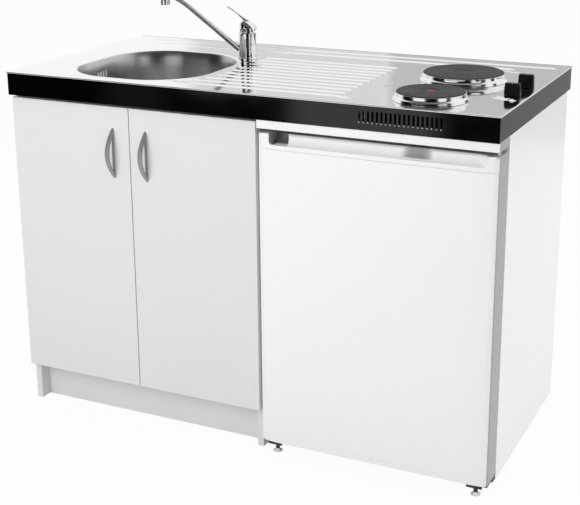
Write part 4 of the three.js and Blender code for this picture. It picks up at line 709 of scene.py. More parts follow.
def make_steel_top():
    form = Form()
    xs = grid_lines(WIDTH, HOB_PITCH, COLUMNS)
    ys = grid_lines(DEPTH, ROW_PITCH, [])
    rows = len(ys)
    for i, x in enumerate(xs):
        for j, y in enumerate(ys):
            on_lip = i in (0, len(xs) - 1) or j in (0, rows - 1)
            drop = -LIP_DROP if on_lip else deck_height(x, y)
            form.vertices.append(at(x, y, DECK + drop))
    left, right = xs.index(PATCH_LEFT), xs.index(PATCH_RIGHT)
    front, back = ys.index(PATCH_LEFT), ys.index(DEPTH - PATCH_LEFT)
    for i in range(len(xs) - 1):
        for j in range(rows - 1):
            if left <= i < right and front <= j < back:
                continue
            a = i * rows + j
            # The back and left lips take painted shade.
            far_lip = xs[i] < LIP_RADIUS or ys[j] >= DEPTH - FAR_LIP
            form.face([a, a + rows, a + rows + 1, a + 1], LIP_PAINTED_SHADE if far_lip else POLISHED)
    border = [(i, front) for i in range(left, right)]
    border += [(right, j) for j in range(front, back)]
    border += [(i, back) for i in range(right, left, -1)]
    border += [(left, j) for j in range(back, front, -1)]
    previous = [i * rows + j for i, j in border]
    count = len(border)
    for points, material in bowl_rings([(xs[i], ys[j]) for i, j in border]):
        base = len(form.vertices)
        form.vertices.extend(points)
        for k in range(count):
            n = (k + 1) % count
            form.face([previous[k], previous[n], base + n, base + k], material)
        previous = range(base, base + count)
    top = new_object("steel_worktop", mesh_of(form, "steel_worktop", outward=False))
    wall = top.modifiers.new("wall", "SOLIDIFY")
    wall.thickness = SHEET * MM
    wall.offset = -1.0
    slots = top.modifiers.new("slots", "BOOLEAN")
    slots.operation = "DIFFERENCE"
    slots.solver = "EXACT"
    slots.object = cutter = overflow_cutter()
    settle(top, DECK_STEEL, BOWL_STEEL, PAINTED_SHADE_LIP_STEEL, crease=50.0)
    bpy.data.objects.remove(cutter)
    attach(top, "unit", "brushed_steel", "steel_top")


SLOT_COUNT = 4
SLOT_PITCH = 11.0
SLOT_WIDTH = 5.0
SLOT_HEIGHT = 16.0
SLOT_DROP = 30.0
CUT_FROM, CUT_TO = -5.0, 30.0


def overflow_cutter():
    form = Form()
    wall = BOWL[0] - BOWL_HALF[0]
    half_y, half_z = SLOT_WIDTH / 2, SLOT_HEIGHT / 2
    for i in range(SLOT_COUNT):
        y = BOWL[1] + (i - (SLOT_COUNT - 1) / 2.0) * SLOT_PITCH
        outline = rounded_rectangle(y, DECK - SLOT_DROP - half_z, half_y, half_z,
                                    SLOT_WIDTH / 2.02, 5)
        form.bar(outline, (wall + CUT_FROM, wall + CUT_TO), 0)
    return new_object("slot_cutter", mesh_of(form, "slot_cutter"))


make_steel_top()


# ---- rows of equal pieces
def row_tree(name, material, round_section):
    """A tree that stands a row of equal bars, with named inputs for its sizes in metres."""
    tree = bpy.data.node_groups.new(name, "GeometryNodeTree")
    for label, kind in (("Count", "Int"), ("Start", "Vector"), ("Step", "Vector"),
                        ("Bar Size", "Vector"), ("Bar Radius", "Float"), ("Bar Length", "Float")):
        tree.interface.new_socket(name=label, in_out="INPUT", socket_type="NodeSocket" + kind)
    tree.interface.new_socket(name="Row", in_out="OUTPUT", socket_type="NodeSocketGeometry")
    given = tree.nodes.new("NodeGroupInput").outputs
    line = new_node(tree, "GeometryNodeMeshLine", Count=given["Count"],
                    Start_Location=given["Start"], Offset=given["Step"])
    line.mode = "OFFSET"
    if round_section:
        bar = new_node(tree, "GeometryNodeMeshCylinder", Vertices=8, Radius=given["Bar Radius"],
                       Depth=given["Bar Length"])
    else:
        bar = new_node(tree, "GeometryNodeMeshCube", Size=given["Bar Size"])
    stood = new_node(tree, "GeometryNodeInstanceOnPoints", Points=line.outputs["Mesh"],
                     Instance=bar.outputs["Mesh"])
    real = new_node(tree, "GeometryNodeRealizeInstances", Geometry=stood.outputs["Instances"])
    coloured = new_node(tree, "GeometryNodeSetMaterial", Geometry=real.outputs["Geometry"],
                        Material=material)
    new_node(tree, "NodeGroupOutput", Row=coloured.outputs["Geometry"])
    return tree


def grow_row(name, tree, body, slot, **sizes):
    """Fills in a row tree's inputs and leaves its result as a plain mesh."""
    obj = new_object(name, bpy.data.meshes.new(name))
    row = obj.modifiers.new("row", "NODES")
    row.node_group = tree
    for socket in tree.interface.items_tree:
        label = socket.name.replace(" ", "_")
        if socket.in_out == "INPUT" and label in sizes:
            row[socket.identifier] = sizes[label]
    settle(obj, crease=50.0)
    attach(obj, body, slot)


# ---- black band and its vents
for rail in ("front_fascia", "right_fascia", "back_fascia", "left_fascia"):
    softened(rail, 0.5, segments=2)

VENT_COUNT = 19
VENT_PITCH = 9.9
VENT_FIRST = 898.2
VENT_LOW = 811.0
TIP_BACK, TIP_RISE = 2.0, 0.7
TIP_SIZE = (2.4, 1.6, 1.9)

# Painted highlights: white ticks under the vent slots where their lower edges catch the light.
grow_row(
    "vent_slot_tips", row_tree("row_of_vent_tips", WHITE_PRINT_AND_PAINTED_HIGHLIGHT, False), "unit", "black_gloss",
    Count=VENT_COUNT,
    Start=at(VENT_FIRST, TIP_BACK, VENT_LOW + TIP_RISE)[:],
    Step=(VENT_PITCH * MM, 0.0, 0.0),
    Bar_Size=tuple(side * MM for side in TIP_SIZE),
)


# ---- cabinet
FACING = 0.75


def is_right_edge(normal):
    return normal.x > FACING


for board in ("left_side_panel", "right_side_panel", "cabinet_floor", "front_rail",
              "plinth_board", "cabinet_back"):
    softened(board, 0.6, segments=2)
softened("left_door", 1.1)
# The right door's right edge gets painted light.
paint(softened("right_door", 1.1), EDGE_PAINTED_LIGHT, is_right_edge)


HANDLE_STEPS = 40
HANDLE_SIDES = 28
HANDLE_BAR = 6.6
HANDLE_SHORTER = 11.0
END_HALF_WIDTH = 3.6
MORE_HALF_WIDTH = 2.4
FLUTES = 3
FLUTE_DEPTH = 0.09
FLUTED_FROM = 0.5
RAIL_HALF_WIDTH = 2.5
RAIL_THICK = 3.0
RAIL_END = 5.0


def make_handle(side):
    """A bow of flat oval section, fluted along its face, on a slim straight rail."""
    node = side + "_door_handle"
    low, high = span(node)
    middle, _ = centre_of(node)
    z_middle = (low.z + high.z) / 2.0
    half_span = (high.z - low.z) / 2.0
    reach = high.y - low.y
    form = Form()
    rings = []
    for i in range(HANDLE_STEPS + 1):
        t = 2.0 * i / HANDLE_STEPS - 1.0
        squeeze = 1.0 - t * t
        outer_y = high.y - reach * squeeze
        outer_z = z_middle + half_span * t
        inner_y = high.y - (reach - HANDLE_BAR) * squeeze
        inner_z = z_middle + (half_span - HANDLE_SHORTER) * t
        half_width = END_HALF_WIDTH + MORE_HALF_WIDTH * squeeze
        ring = []
        for angle in turns(HANDLE_SIDES):
            across, depth = squared(angle, 0.7, 0.8)
            flute = 0.0
            if depth > FLUTED_FROM:
                flute = FLUTE_DEPTH * math.cos(FLUTES * math.pi * across) * squeeze
            mix = 0.5 + 0.5 * (depth - flute)
            y = inner_y + (outer_y - inner_y) * mix
            z = inner_z + (outer_z - inner_z) * mix
            ring.append(at(middle + half_width * across, clamp(y, low.y, high.y), z))
        rings.append(ring)
    form.rings(rings)
    rail_y = high.y - RAIL_THICK / 2.0
    rail = rounded_rectangle(middle, rail_y, RAIL_HALF_WIDTH, RAIL_THICK / 2.0, 1.1, 4)
    form.bar(rail, (low.z + RAIL_END, high.z - RAIL_END), 2)
    piece(node + "_bow", form, [NICKEL], side + "_door", "satin_nickel", node, crease=60.0)


for side in ("left", "right"):
    make_handle(side)


# ---- refrigerator outside
CROWN_REACH = 76.0
CROWN_DEPTH = 5.4
CROWN_POWER = 2.6
STRIPS = 9
STRIP_POWER = 1.3
CROWN_FADE = 16.0
LEFT_REACH = 5.0
SEAM_RISE = 8.0
SEAM_WIDTH = 0.9
SEAM_DEPTH = 0.7


def crown(near):
    """How far the door's front falls back at a distance from its nearer upright edge."""
    return CROWN_DEPTH * max(1.0 - near / CROWN_REACH, 0.0) ** CROWN_POWER


def widened(work, low, high):
    """Brings the left flank nearer to the cabinet."""
    for vertex in work.verts:
        spot = (vertex.co - CORNER) / MM
        if spot.x < low.x + 1.0:
            vertex.co.x -= LEFT_REACH * MM


def crowned(work, low, high):
    """Cuts the front into strips, eases it back to its edges and presses the lower seam."""
    widened(work, low, high)
    low = low - Vector((LEFT_REACH, 0.0, 0.0))
    strips = [CROWN_REACH * (i / STRIPS) ** STRIP_POWER for i in range(1, STRIPS + 1)]
    planes = [(at(x, 0, 0), (1, 0, 0)) for s in strips for x in (low.x + s, high.x - s)]
    seam = low.z + SEAM_RISE
    planes += [(at(0, 0, seam + shift), (0, 0, 1)) for shift in (-0.3, 0.0, SEAM_WIDTH, 1.2)]
    for spot, normal in planes:
        parts = work.verts[:] + work.edges[:] + work.faces[:]
        bmesh.ops.bisect_plane(work, geom=parts, plane_co=spot, plane_no=normal, dist=1e-6)
    for vertex in work.verts:
        spot = (vertex.co - CORNER) / MM
        behind = spot.y - low.y
        if behind > CROWN_FADE:
            continue
        near = min(spot.x - low.x, high.x - spot.x)
        back = crown(near) * (1.0 - behind / CROWN_FADE)
        if seam - 0.05 < spot.z < seam + SEAM_WIDTH + 0.05 and behind < 0.5:
            back += SEAM_DEPTH
        vertex.co.y += back * MM


paint(softened("fridge_door_panel", 0.8, segments=2, shape=crowned), GREY_RIGHT_FACES, is_right_edge)
apron = softened("fridge_top_apron", 1.0, segments=2, shape=widened)
paint(apron, GREY_RIGHT_FACES, is_right_edge)
# The apron's underside gets painted shade.
paint(apron, UNDERSIDE_PAINTED_SHADE, lambda normal: normal.z < -0.9)
softened("fridge_cabinet", 0.5, segments=2)
softened("fridge_front_base", 0.4, segments=2)

TRIM_CORNER = (0.0, 0.4, 1.6, 3.5, 6.0, 9.0, 12.0)
DOOR_CORNER = TRIM_CORNER[-1]
SCOOP_STEPS = 14
SCOOP_DEPTH = 18.0
SCOOP_RISE = 24.0
SCOOP_END_EASE = 30.0
POCKET_WIDTH = 42.0
POCKET_DEPTH = 40.0
POCKET_CURVE = 17.0
POCKET_CORNER = 7.0
POCKET_SQUARENESS = 0.5
ROOF_BLEND = 0.1
# Painted shade: grey in the pocket and under the scoop's roof; the patch is a painted dark reflection.
POCKET_PAINTED_SHADE, ROOF_PAINTED_SHADE, PATCH_PAINTED_REFLECTION = 0.94, 0.5, 0.74
PATCH_MIDDLE = 1022.0
PATCH_HALF = 34.0


def make_grip_trim():
    """The door's top trim: a finger scoop along its front, with a deep pocket at its left."""
    node = "fridge_grip_trim"
    low, high = span(node)
    low.x -= LEFT_REACH
    left, right = low.x + SCOOP_RISE + LEFT_REACH, high.x - SCOOP_RISE
    pocket = left + POCKET_WIDTH
    corner = [low.x + c for c in TRIM_CORNER]
    stations = corner + [left + step for step in (-0.3, 0.0, 1.0, 2.5, 4.5, POCKET_CORNER)]
    stations += steps_between(left + POCKET_CORNER, pocket - 1.5, 5.0)
    stations += [pocket - 0.5, pocket + 0.5, pocket + 2.0]
    stations += steps_between(pocket + 2.0, right - SCOOP_END_EASE, 6.0)
    stations += steps_between(right - SCOOP_END_EASE, right, 2.0)
    stations += [low.x + high.x - x for x in reversed(corner)]
    form = Form()
    rings = []
    for x in stations:
        near = min(x - low.x, high.x - x)
        front = low.y
        if near < DOOR_CORNER:
            front += DOOR_CORNER - math.sqrt(DOOR_CORNER**2 - (DOOR_CORNER - near) ** 2)
        front += crown(near) * (1.0 - min(front - low.y, CROWN_FADE) / CROWN_FADE)
        depth, squareness, lift = 0.0, 1.0, POCKET_CORNER if x < left else 0.0
        if left <= x <= pocket:
            depth = POCKET_DEPTH * min(x - left, 1.0) + 0.01
            squareness = POCKET_SQUARENESS
            pocket_top = 1.0 - max((x - pocket + POCKET_CURVE) / POCKET_CURVE, 0.0) ** 2
            if x - left < POCKET_CORNER:
                away = POCKET_CORNER - x + left
                lift = POCKET_CORNER - math.sqrt(POCKET_CORNER**2 - away**2)
        elif pocket < x < right:
            share = min((right - x) / SCOOP_END_EASE, 1.0)
            depth = SCOOP_DEPTH * math.sqrt(1.0 - (1.0 - share) ** 2)
        ring = [(high.y, high.z - 0.8), (high.y, low.z + 0.4), (high.y - 0.6, low.z)]
        ring += [(front + 1.0, low.z), (front + 0.25, low.z + 0.3), (front, low.z + 1.0)]
        edge = high.z - SCOOP_RISE + lift
        ring.append((front, edge - 0.6))
        for k in range(SCOOP_STEPS + 1):
            angle = 0.5 * math.pi * k / SCOOP_STEPS
            into = depth * math.sin(angle) ** squareness
            up = (high.z - edge) * (1.0 - max(math.cos(angle), 0.0) ** squareness)
            if squareness < 1.0:
                over = clamp((up / (high.z - edge) - pocket_top) / ROOF_BLEND)
                into += (min(SCOOP_DEPTH * math.sin(angle), into) - into) * over
            ring.append((front + into, edge + up))
        ring.append((max(front + depth, ring[-1][0]) + 1.0, high.z))
        ring.append((high.y - 0.8, high.z))
        rings.append([at(x, y, z) for y, z in ring])
    form.rings(rings)
    trim = piece("grip_trim_scooped", form, [TRIM_WITH_PAINTED_SHADE], "fridge_door", "white_plastic",
                 node, crease=45.0, weighted=True)
    paint(trim, GREY_RIGHT_FACES, is_right_edge)
    # The shade attribute paints shade and a dark reflection into the trim's colour.
    shade = trim.data.attributes.new("shade", "FLOAT", "POINT")
    for i, vertex in enumerate(trim.data.vertices):
        spot = (vertex.co - CORNER) / MM
        shade.data[i].value = painted_shade_of_trim(spot, low, high, left, pocket)


def painted_shade_of_trim(spot, low, high, left, pocket):
    """Painted shade in the scoop's roof and pocket, and a painted dark reflection right of the middle."""
    behind = spot.y - low.y - crown(min(spot.x - low.x, high.x - spot.x))
    if behind < 1.0:
        return 0.0
    if left - 0.1 < spot.x < pocket and (behind > SCOOP_DEPTH + 1.0 or spot.x < left + 8.0):
        return POCKET_PAINTED_SHADE
    roof = ROOF_PAINTED_SHADE * clamp((spot.z - high.z + 6.0) / 5.0)
    if spot.z < high.z - SCOOP_RISE + 3.0:
        return roof
    # The patch right of the middle is a painted dark reflection.
    across = (spot.x - PATCH_MIDDLE) / PATCH_HALF
    return max(roof, PATCH_PAINTED_REFLECTION * max(1.0 - across**4, 0.0))


make_grip_trim()


# ---- refrigerator feet and back
PAD_RADIUS = 11.0
PAD = [(0.0, 0.0), (PAD_RADIUS - 0.5, 0.0), (PAD_RADIUS, 0.4), (PAD_RADIUS, 1.1),
       (PAD_RADIUS - 0.7, 1.6), (5.6, 2.2), (4.6, 3.0), (4.6, 7.0), (0.0, 7.0)]
STEM_RADIUS = 4.9
ARM_LIP_WIDTH = 36.0
ARM_LIP_MIDDLE = 27.0
ARM_LIP_HALF = 5.5
ARM_LIP_FRONT, ARM_LIP_BACK = -1.6, 0.2


def make_foot(where):
    """A slim dark screw on a thin pale pad."""
    node = "front_" + where + "_foot"
    centre, top = centre_of(node), span(node)[1].z
    stem = [(0.0, 6.5), (STEM_RADIUS, 6.5), (STEM_RADIUS, top - 0.4), (STEM_RADIUS - 0.4, top),
            (0.0, top)]
    form = Form()
    form.turned(PAD, centre, 40, material=1)
    form.turned(stem, centre, 28)
    piece(node + "_screw", form, [BLACK_STEEL, PAD_PLASTIC], NODE_BODY[node], "black_plastic",
          node, crease=40.0, weighted=True)


def make_foot_lips():
    """The turned-down front edges of the two arms that hold the feet."""
    low, high = span("fridge_front_base")
    form = Form()
    for where in ("left", "right"):
        middle, _ = centre_of("front_" + where + "_foot")
        start = max(middle - ARM_LIP_WIDTH / 2.0, low.x)
        end = min(middle + ARM_LIP_WIDTH / 2.0, high.x)
        outline = rounded_rectangle((start + end) / 2.0, ARM_LIP_MIDDLE, (end - start) / 2.0,
                                    ARM_LIP_HALF, 2.0, 4)
        form.bar(outline, (low.y + ARM_LIP_FRONT, low.y + ARM_LIP_BACK), 1)
    piece("foot_arm_lips", form, [BLACK_STEEL], "unit", "black_steel")


for side in ("left", "right"):
    make_foot(side)
make_foot_lips()

WIRE_PITCH = 9.0
WIRE_RADIUS = 0.8
WIRE_INSET = 78.0
WIRE_DEPTH = 9.4
WIRE_SHORTER = 4.0
bed_low, bed_high = span("condenser")
grow_row(
    "condenser_wires", row_tree("row_of_wires", BLACK_STEEL, True), "unit", "black_steel",
    Count=int((bed_high.x - bed_low.x - 2.0 * WIRE_INSET) / WIRE_PITCH) + 1,
    Start=at(bed_low.x + WIRE_INSET, bed_high.y - WIRE_DEPTH, (bed_low.z + bed_high.z) / 2.0)[:],
    Step=(WIRE_PITCH * MM, 0.0, 0.0),
    Bar_Radius=WIRE_RADIUS * MM,
    Bar_Length=(bed_high.z - bed_low.z - WIRE_SHORTER) * MM,
)


# ---- hotplates
PLATE_RIM = 9.0
CASING_INSET = 20.0
CASING_LOW = DECK - 15.2
PLATE_RECESS = 21.0
GROOVE_PITCH = 4.4
GROOVE_DEPTH = 0.45


def make_plate(where):
    node = where + "_hotplate"
    low, high = span(node)
    radius = (high.x - low.x) / 2.0
    top = high.z
    rim_under = top - PLATE_RIM
    casing = radius - CASING_INSET
    profile = [(0.0, low.z), (4.0, low.z), (4.0, CASING_LOW), (casing, CASING_LOW),
               (casing, rim_under - 2.0), (radius - 13.0, rim_under), (radius - 0.8, rim_under),
               (radius, rim_under + 0.8), (radius, top - 2.2), (radius - 0.5, top - 0.9),
               (radius - 2.0, top)]
    r = radius - 4.0
    while r > PLATE_RECESS + 4.0:
        profile += [(r, top), (r - 1.2, top - GROOVE_DEPTH), (r - 2.4, top - 0.05)]
        r -= GROOVE_PITCH
    profile += [(PLATE_RECESS + 2.2, top), (PLATE_RECESS + 1.0, top - 0.4),
                (PLATE_RECESS - 0.2, top - 1.4), (PLATE_RECESS - 2.0, top - 1.5), (0.0, top - 1.5)]
    turned_piece(node + "_grooved", profile, centre_of(node), 96, [IRON], "unit", "cast_iron",
                 node, crease=30.0)


def make_plate_ring(where):
    node = where + "_hotplate_ring"
    low, high = span(where + "_hotplate")
    radius = (high.x - low.x) / 2.0
    wall = radius + 0.3
    top = high.z
    shelf = top - PLATE_RIM - 0.3
    outline = [(wall + 6.0, DECK + 0.3), (wall + 9.0, DECK + 0.3), (wall + 7.6, DECK + 3.0),
               (wall + 6.4, DECK + 7.0), (wall + 2.6, DECK + 8.6), (wall + 1.6, top - 6.0),
               (wall + 1.5, top - 2.2), (wall + 0.1, top - 2.2), (wall, shelf),
               (radius - 14.0, shelf), (radius - 14.0, shelf - 1.2), (wall + 0.6, shelf - 1.2),
               (wall + 4.0, DECK + 6.0)]
    turned_piece(node + "_pressed", eased(outline, 1.6, 4, closed=True), centre_of(node), 96,
                 [RING_CHROME], "unit", "chrome", node, closed=True, crease=60.0, weighted=True)


def make_red_mark(plate):
    top = span(plate)[1].z
    profile = [(0.0, top - 1.5), (9.5, top - 1.5), (9.5, top - 1.2), (8.8, top - 0.8),
               (6.0, top - 0.45), (0.0, top - 0.3)]
    turned_piece("front_plate_red_mark", profile, centre_of(plate), 40, [RED_MARK], "unit",
                 "cast_iron")


make_plate("front")
make_plate_ring("front")
make_red_mark("front_hotplate")
make_plate("rear")
make_plate_ring("rear")


# ---- hob knobs
KNOB_GAP = 0.3
SKIRT_HEIGHT = 5.0
GRIP_HALF = 8.6
# The grip's outlines, as (share of its height, how much smaller than its foot).
GRIP_RINGS = ((-0.08, 0.0), (0.15, 0.15), (0.8, 0.9), (0.93, 1.4), (0.985, 2.4), (1.0, 3.8))


def make_knob(where):
    """A round skirt with a broad grip bar across it and a white pointer line."""
    body = where + "_knob"
    low, high = span(body)
    cx, cy, _ = joint_place(body + "_turn")
    radius = (high.x - low.x) / 2.0
    base = DECK + KNOB_GAP
    skirt_top = base + SKIRT_HEIGHT
    form = Form()
    skirt = [(0.0, low.z), (3.0, low.z), (3.0, base), (radius - 0.6, base), (radius, base + 0.6),
             (radius, base + 3.6), (radius - 1.6, skirt_top), (0.0, skirt_top)]
    form.turned(skirt, (cx, cy), 64)
    rings = []
    height = high.z - skirt_top
    for share, shrink in GRIP_RINGS:
        half_x, half_y = radius - 0.8 - shrink, GRIP_HALF - shrink
        outline = rounded_rectangle(cx, cy, half_x, half_y, min(3.4, half_y - 0.4), 5)
        rings.append([at(x, y, skirt_top + share * height) for x, y in outline])
    form.rings(rings)
    piece(body + "_grip", form, [BLACK_PLASTIC], body, "black_plastic", body, crease=35.0,
          weighted=True)
    mark = Form()
    mark.bar(rounded_rectangle(cx, cy - 4.6, 0.7, 3.4, 0.65, 4), (high.z - 0.1, high.z), 2)
    piece(body + "_pointer", mark, [WHITE_PRINT_AND_PAINTED_HIGHLIGHT], body, "black_plastic")


for place in ("front", "rear"):
    make_knob(place)


# ---- tap
AERATOR_LOW, AERATOR_HIGH = span("spout_aerator")
AERATOR_MIDDLE = (AERATOR_LOW + AERATOR_HIGH) / 2.0
REACH = math.hypot(AERATOR_MIDDLE.x - TAP.x, AERATOR_MIDDLE.y - TAP.y)
TAP_TURN = math.atan2(AERATOR_MIDDLE.y - TAP.y, AERATOR_MIDDLE.x - TAP.x)
TAP_BODY_TOP = span("tap_body")[1].z - DECK
LEVER_TOP = span("tap_lever")[1].z - DECK
LEVER_REACH = 49.0
LEVER_STEPS = 30
RISE = AERATOR_HIGH.z - DECK + 7.3
PIVOT = TAP_BODY_TOP + 7.0
DOME_RADIUS, DOME_FOOT = 18.0, TAP_BODY_TOP + 0.3
HOOD_RADIUS, HOOD_FOOT = 18.8, TAP_BODY_TOP + 10.3
SKIRT_FRONT, SKIRT_BACK, SKIRT_SLOPE = -5.0, -6.4, 0.4664
HOOD_MIDDLES = ((-11.0, -2.0), (2.0, -2.6), (9.0, -0.6), (16.0, 3.2), (20.6, 5.0), (24.0, 5.0))


def hood_middle(height):
    """How far the hood's middle lies towards the spout at a height over its pivot."""
    for (z0, x0), (z1, x1) in zip(HOOD_MIDDLES, HOOD_MIDDLES[1:]):
        if height <= z1:
            return x0 + (x1 - x0) * max(height - z0, 0.0) / (z1 - z0)
    return HOOD_MIDDLES[-1][1]


def by_tap(x, y, z):
    """A point in the tap's own frame: the spout along +X, heights from the deck."""
    c, s = math.cos(TAP_TURN), math.sin(TAP_TURN)
    return at(TAP.x + c * x - s * y, TAP.y + s * x + c * y, DECK + z)


def bezier(points, steps):
    degree = len(points) - 1
    made = []
    for i in range(steps + 1):
        t = i / steps
        total = Vector((0, 0, 0))
        for k, p in enumerate(points):
            total += p * (math.comb(degree, k) * t**k * (1 - t) ** (degree - k))
        made.append(total)
    return made


def arc(radius, start, end, steps):
    """Points (radius, height) on a circle about the lever's pivot."""
    angles = [start + (end - start) * k / steps for k in range(steps + 1)]
    return [(radius * math.cos(a), PIVOT + radius * math.sin(a)) for a in angles]


def make_tap_body():
    top, bore = TAP_BODY_TOP, TAP_BODY_TOP - 24.0
    profile = [(0.0, -60.0), (16.0, -60.0), (16.0, -9.5), (27.0, -9.5), (27.0, -1.5), (16.0, -1.5),
               (16.0, 0.3), (22.8, 0.3), (22.8, 3.0), (21.5, 4.2), (21.5, 8.7), (17.0, 8.7),
               (17.0, 37.3), (21.5, 37.3), (21.5, top), (14.5, top), (14.5, bore), (0.0, bore)]
    turned_piece("tap_body_turned", eased(profile, 0.4, 3), (0.0, 0.0), 72, [CHROME], "unit",
                 "chrome", "tap_body", place=by_tap, crease=50.0, weighted=True)


def make_spout():
    form = Form()
    collar = [(17.3, 9.0), (21.3, 9.0), (21.6, 9.3), (21.6, 36.7), (21.3, 37.0), (17.3, 37.0)]
    form.turned(collar, (0.0, 0.0), 72, closed=True, place=by_tap)
    start = Vector((20.3, 0, 24.0))
    straight = Vector((REACH * 0.7, 0, RISE * 0.825))
    path = [start + (straight - start) * (k / 12.0) for k in range(12)]
    path += bezier([straight, Vector((REACH * 0.86, 0, RISE)), Vector((REACH, 0, RISE * 1.06)),
                    Vector((REACH, 0, RISE))], 24)
    count = len(path) - 1
    form.tube(path, [6.6 - 1.2 * k / count for k in range(count + 1)], 28, by_tap)
    outlet = [(0.0, RISE - 7.0), (10.6, RISE - 7.0), (11.0, RISE - 6.4), (11.0, RISE + 0.6),
              (9.4, RISE + 2.6), (0.0, RISE + 3.4)]
    form.turned(outlet, (REACH, 0.0), 48, place=by_tap)
    piece("tap_spout_drawn", form, [CHROME], "tap_spout", "chrome", "tap_spout", crease=50.0,
          weighted=True)


def make_aerator():
    low, high = AERATOR_LOW.z - DECK, AERATOR_HIGH.z - DECK
    nozzle = [(0.0, low + 2.0), (8.8, low + 2.0), (9.0, low), (11.4, low), (12.0, low + 0.8),
              (12.0, high - 0.6), (11.4, high), (0.0, high)]
    turned_piece("aerator_turned", nozzle, (REACH, 0.0), 48, [CHROME], "tap_spout", "chrome",
                 "spout_aerator", place=by_tap, weighted=True)


def make_cartridge():
    foot = TAP_BODY_TOP - 23.7
    low = math.asin((DOME_FOOT - PIVOT) / DOME_RADIUS)
    dome = [(0.0, foot), (14.0, foot), (14.0, DOME_FOOT), *arc(DOME_RADIUS, low, math.pi / 2, 14)]
    turned_piece("cartridge_dome", dome, (0.0, 0.0), 64, [CHROME], "tap_cartridge", "chrome",
                 "tap_cartridge", place=by_tap, crease=60.0)


def leaning(x, y, z):
    """The hood's outside leans towards the spout, and its skirt reaches lowest there."""
    if math.hypot(x, y, z - PIVOT) < HOOD_RADIUS + 0.5:
        return by_tap(x, y, z)
    if z < HOOD_FOOT + 0.5:
        skirt = SKIRT_FRONT if x > -3.0 else max(SKIRT_FRONT, SKIRT_BACK + SKIRT_SLOPE * -x)
        z = min(PIVOT + skirt, z)
    return by_tap(x + hood_middle(z - PIVOT), y, z)


def make_lever():
    form = Form()
    hood = arc(HOOD_RADIUS, math.pi / 2, math.asin((HOOD_FOOT - PIVOT) / HOOD_RADIUS), 12)
    outside = [(22.0, HOOD_FOOT), (22.0, PIVOT + 6.0), (19.0, PIVOT + 13.0),
               (13.5, PIVOT + 20.0), (6.5, PIVOT + 24.6), (0.0, PIVOT + 26.4)]
    hood += eased([hood[-1]] + outside, 5.0, 5)[1:]
    form.turned(hood, (0.0, 0.0), 72, place=leaning)
    tip = LEVER_TOP - 2.0
    centre = bezier([Vector((-2, 0, PIVOT + 21.0)), Vector((14, 0, PIVOT + 30.0)),
                     Vector((30, 0, tip - 9.0)), Vector((LEVER_REACH, 0, tip))], LEVER_STEPS)
    rings = []
    for i, p in enumerate(centre):
        share = i / LEVER_STEPS
        along = (centre[min(i + 1, LEVER_STEPS)] - centre[max(i - 1, 0)]).normalized()
        up = Vector((-along.z, 0, along.x))
        half_width = 8.5 - 2.2 * share if i < LEVER_STEPS else 5.0
        half_thick = max(3.4 * (1.0 - share / 0.55), 0.0) + 1.6
        ring = []
        for angle in turns(20):
            wide, thick = squared(angle, 0.6, 0.8)
            q = p + up * (thick * half_thick)
            ring.append(by_tap(q.x, wide * half_width, q.z))
        rings.append(ring)
    form.rings(rings)
    piece("lever_blade", form, [CHROME], "tap_lever", "chrome", "tap_lever", crease=50.0)


make_tap_body()
make_spout()
make_aerator()
make_cartridge()
make_lever()


# ---- what stays as the frame has it
for node, obj in frame["nodes"].items():
    obj.data.materials.clear()
    obj.data.materials.append(finish_of(node))
for node in ("fridge_liner", "fridge_door_liner", "icebox_flap"):
    frame["nodes"][node].data.materials[0] = INNER_PLASTIC


# ---- floor, light and background
def share_of(seen, tree):
    """One where any of the named kinds of ray looks, zero elsewhere."""
    rays = tree.nodes.new("ShaderNodeLightPath").outputs
    total = rays[seen[0]]
    for kind in seen[1:]:
        total = joined_values(tree, "MAXIMUM", total, rays[kind])
    return total


def mix_out(tree, output, share, first, second):
    """Leads the first shader to an output, and the second one where the share is one."""
    mixed = new_node(tree, "ShaderNodeMixShader", Fac=share)
    feed(tree, mixed.inputs[1], first.outputs[0])
    feed(tree, mixed.inputs[2], second.outputs[0])
    feed(tree, tree.nodes[output].inputs["Surface"], mixed.outputs[0])


WHITE = (1, 1, 1, 1)
BACKGROUND_RAYS = ("Is Camera Ray", "Is Glossy Ray", "Is Transmission Ray")
FLOOR_GLOW = 0.96
ROOM_LIGHT = 0.62
FLOOR_FRONT, FLOOR_BACK, FLOOR_SIDE = -9.0, 16.0, 12.0


def make_floor():
    corners = [(x * FLOOR_SIDE, y, 0.0) for x, y in (
        (-1, FLOOR_FRONT), (1, FLOOR_FRONT), (1, FLOOR_BACK), (-1, FLOOR_BACK))]
    mesh = bpy.data.meshes.new("studio_floor")
    mesh.from_pydata(corners, [], [(0, 1, 2, 3)])
    floor = new_object("studio_floor", mesh)
    f = Finish("pale_studio_floor", Specular_IOR_Level=0.1)
    f.colour(f.between(f.noise(3.0, 2.0), 0.0, 1.0), grey(0.62), grey(0.64))
    f.rough(f.between(f.noise(20.0), 0.6, 0.7))
    share = joined_values(f.tree, "MULTIPLY", share_of(BACKGROUND_RAYS, f.tree), FLOOR_GLOW)
    glow = f.node("ShaderNodeEmission", Color=WHITE, Strength=1.0)
    mix_out(f.tree, "Material Output", share, f.shader, glow)
    floor.data.materials.append(f.material)


def make_world():
    world = bpy.data.worlds.new("studio")
    world.use_nodes = True
    scene.world = world
    tree = world.node_tree
    room = tree.nodes["Background"]
    room.inputs["Color"].default_value = WHITE
    room.inputs["Strength"].default_value = ROOM_LIGHT
    seen = new_node(tree, "ShaderNodeBackground", Color=WHITE, Strength=1.0)
    mix_out(tree, "World Output", share_of(BACKGROUND_RAYS, tree), room, seen)


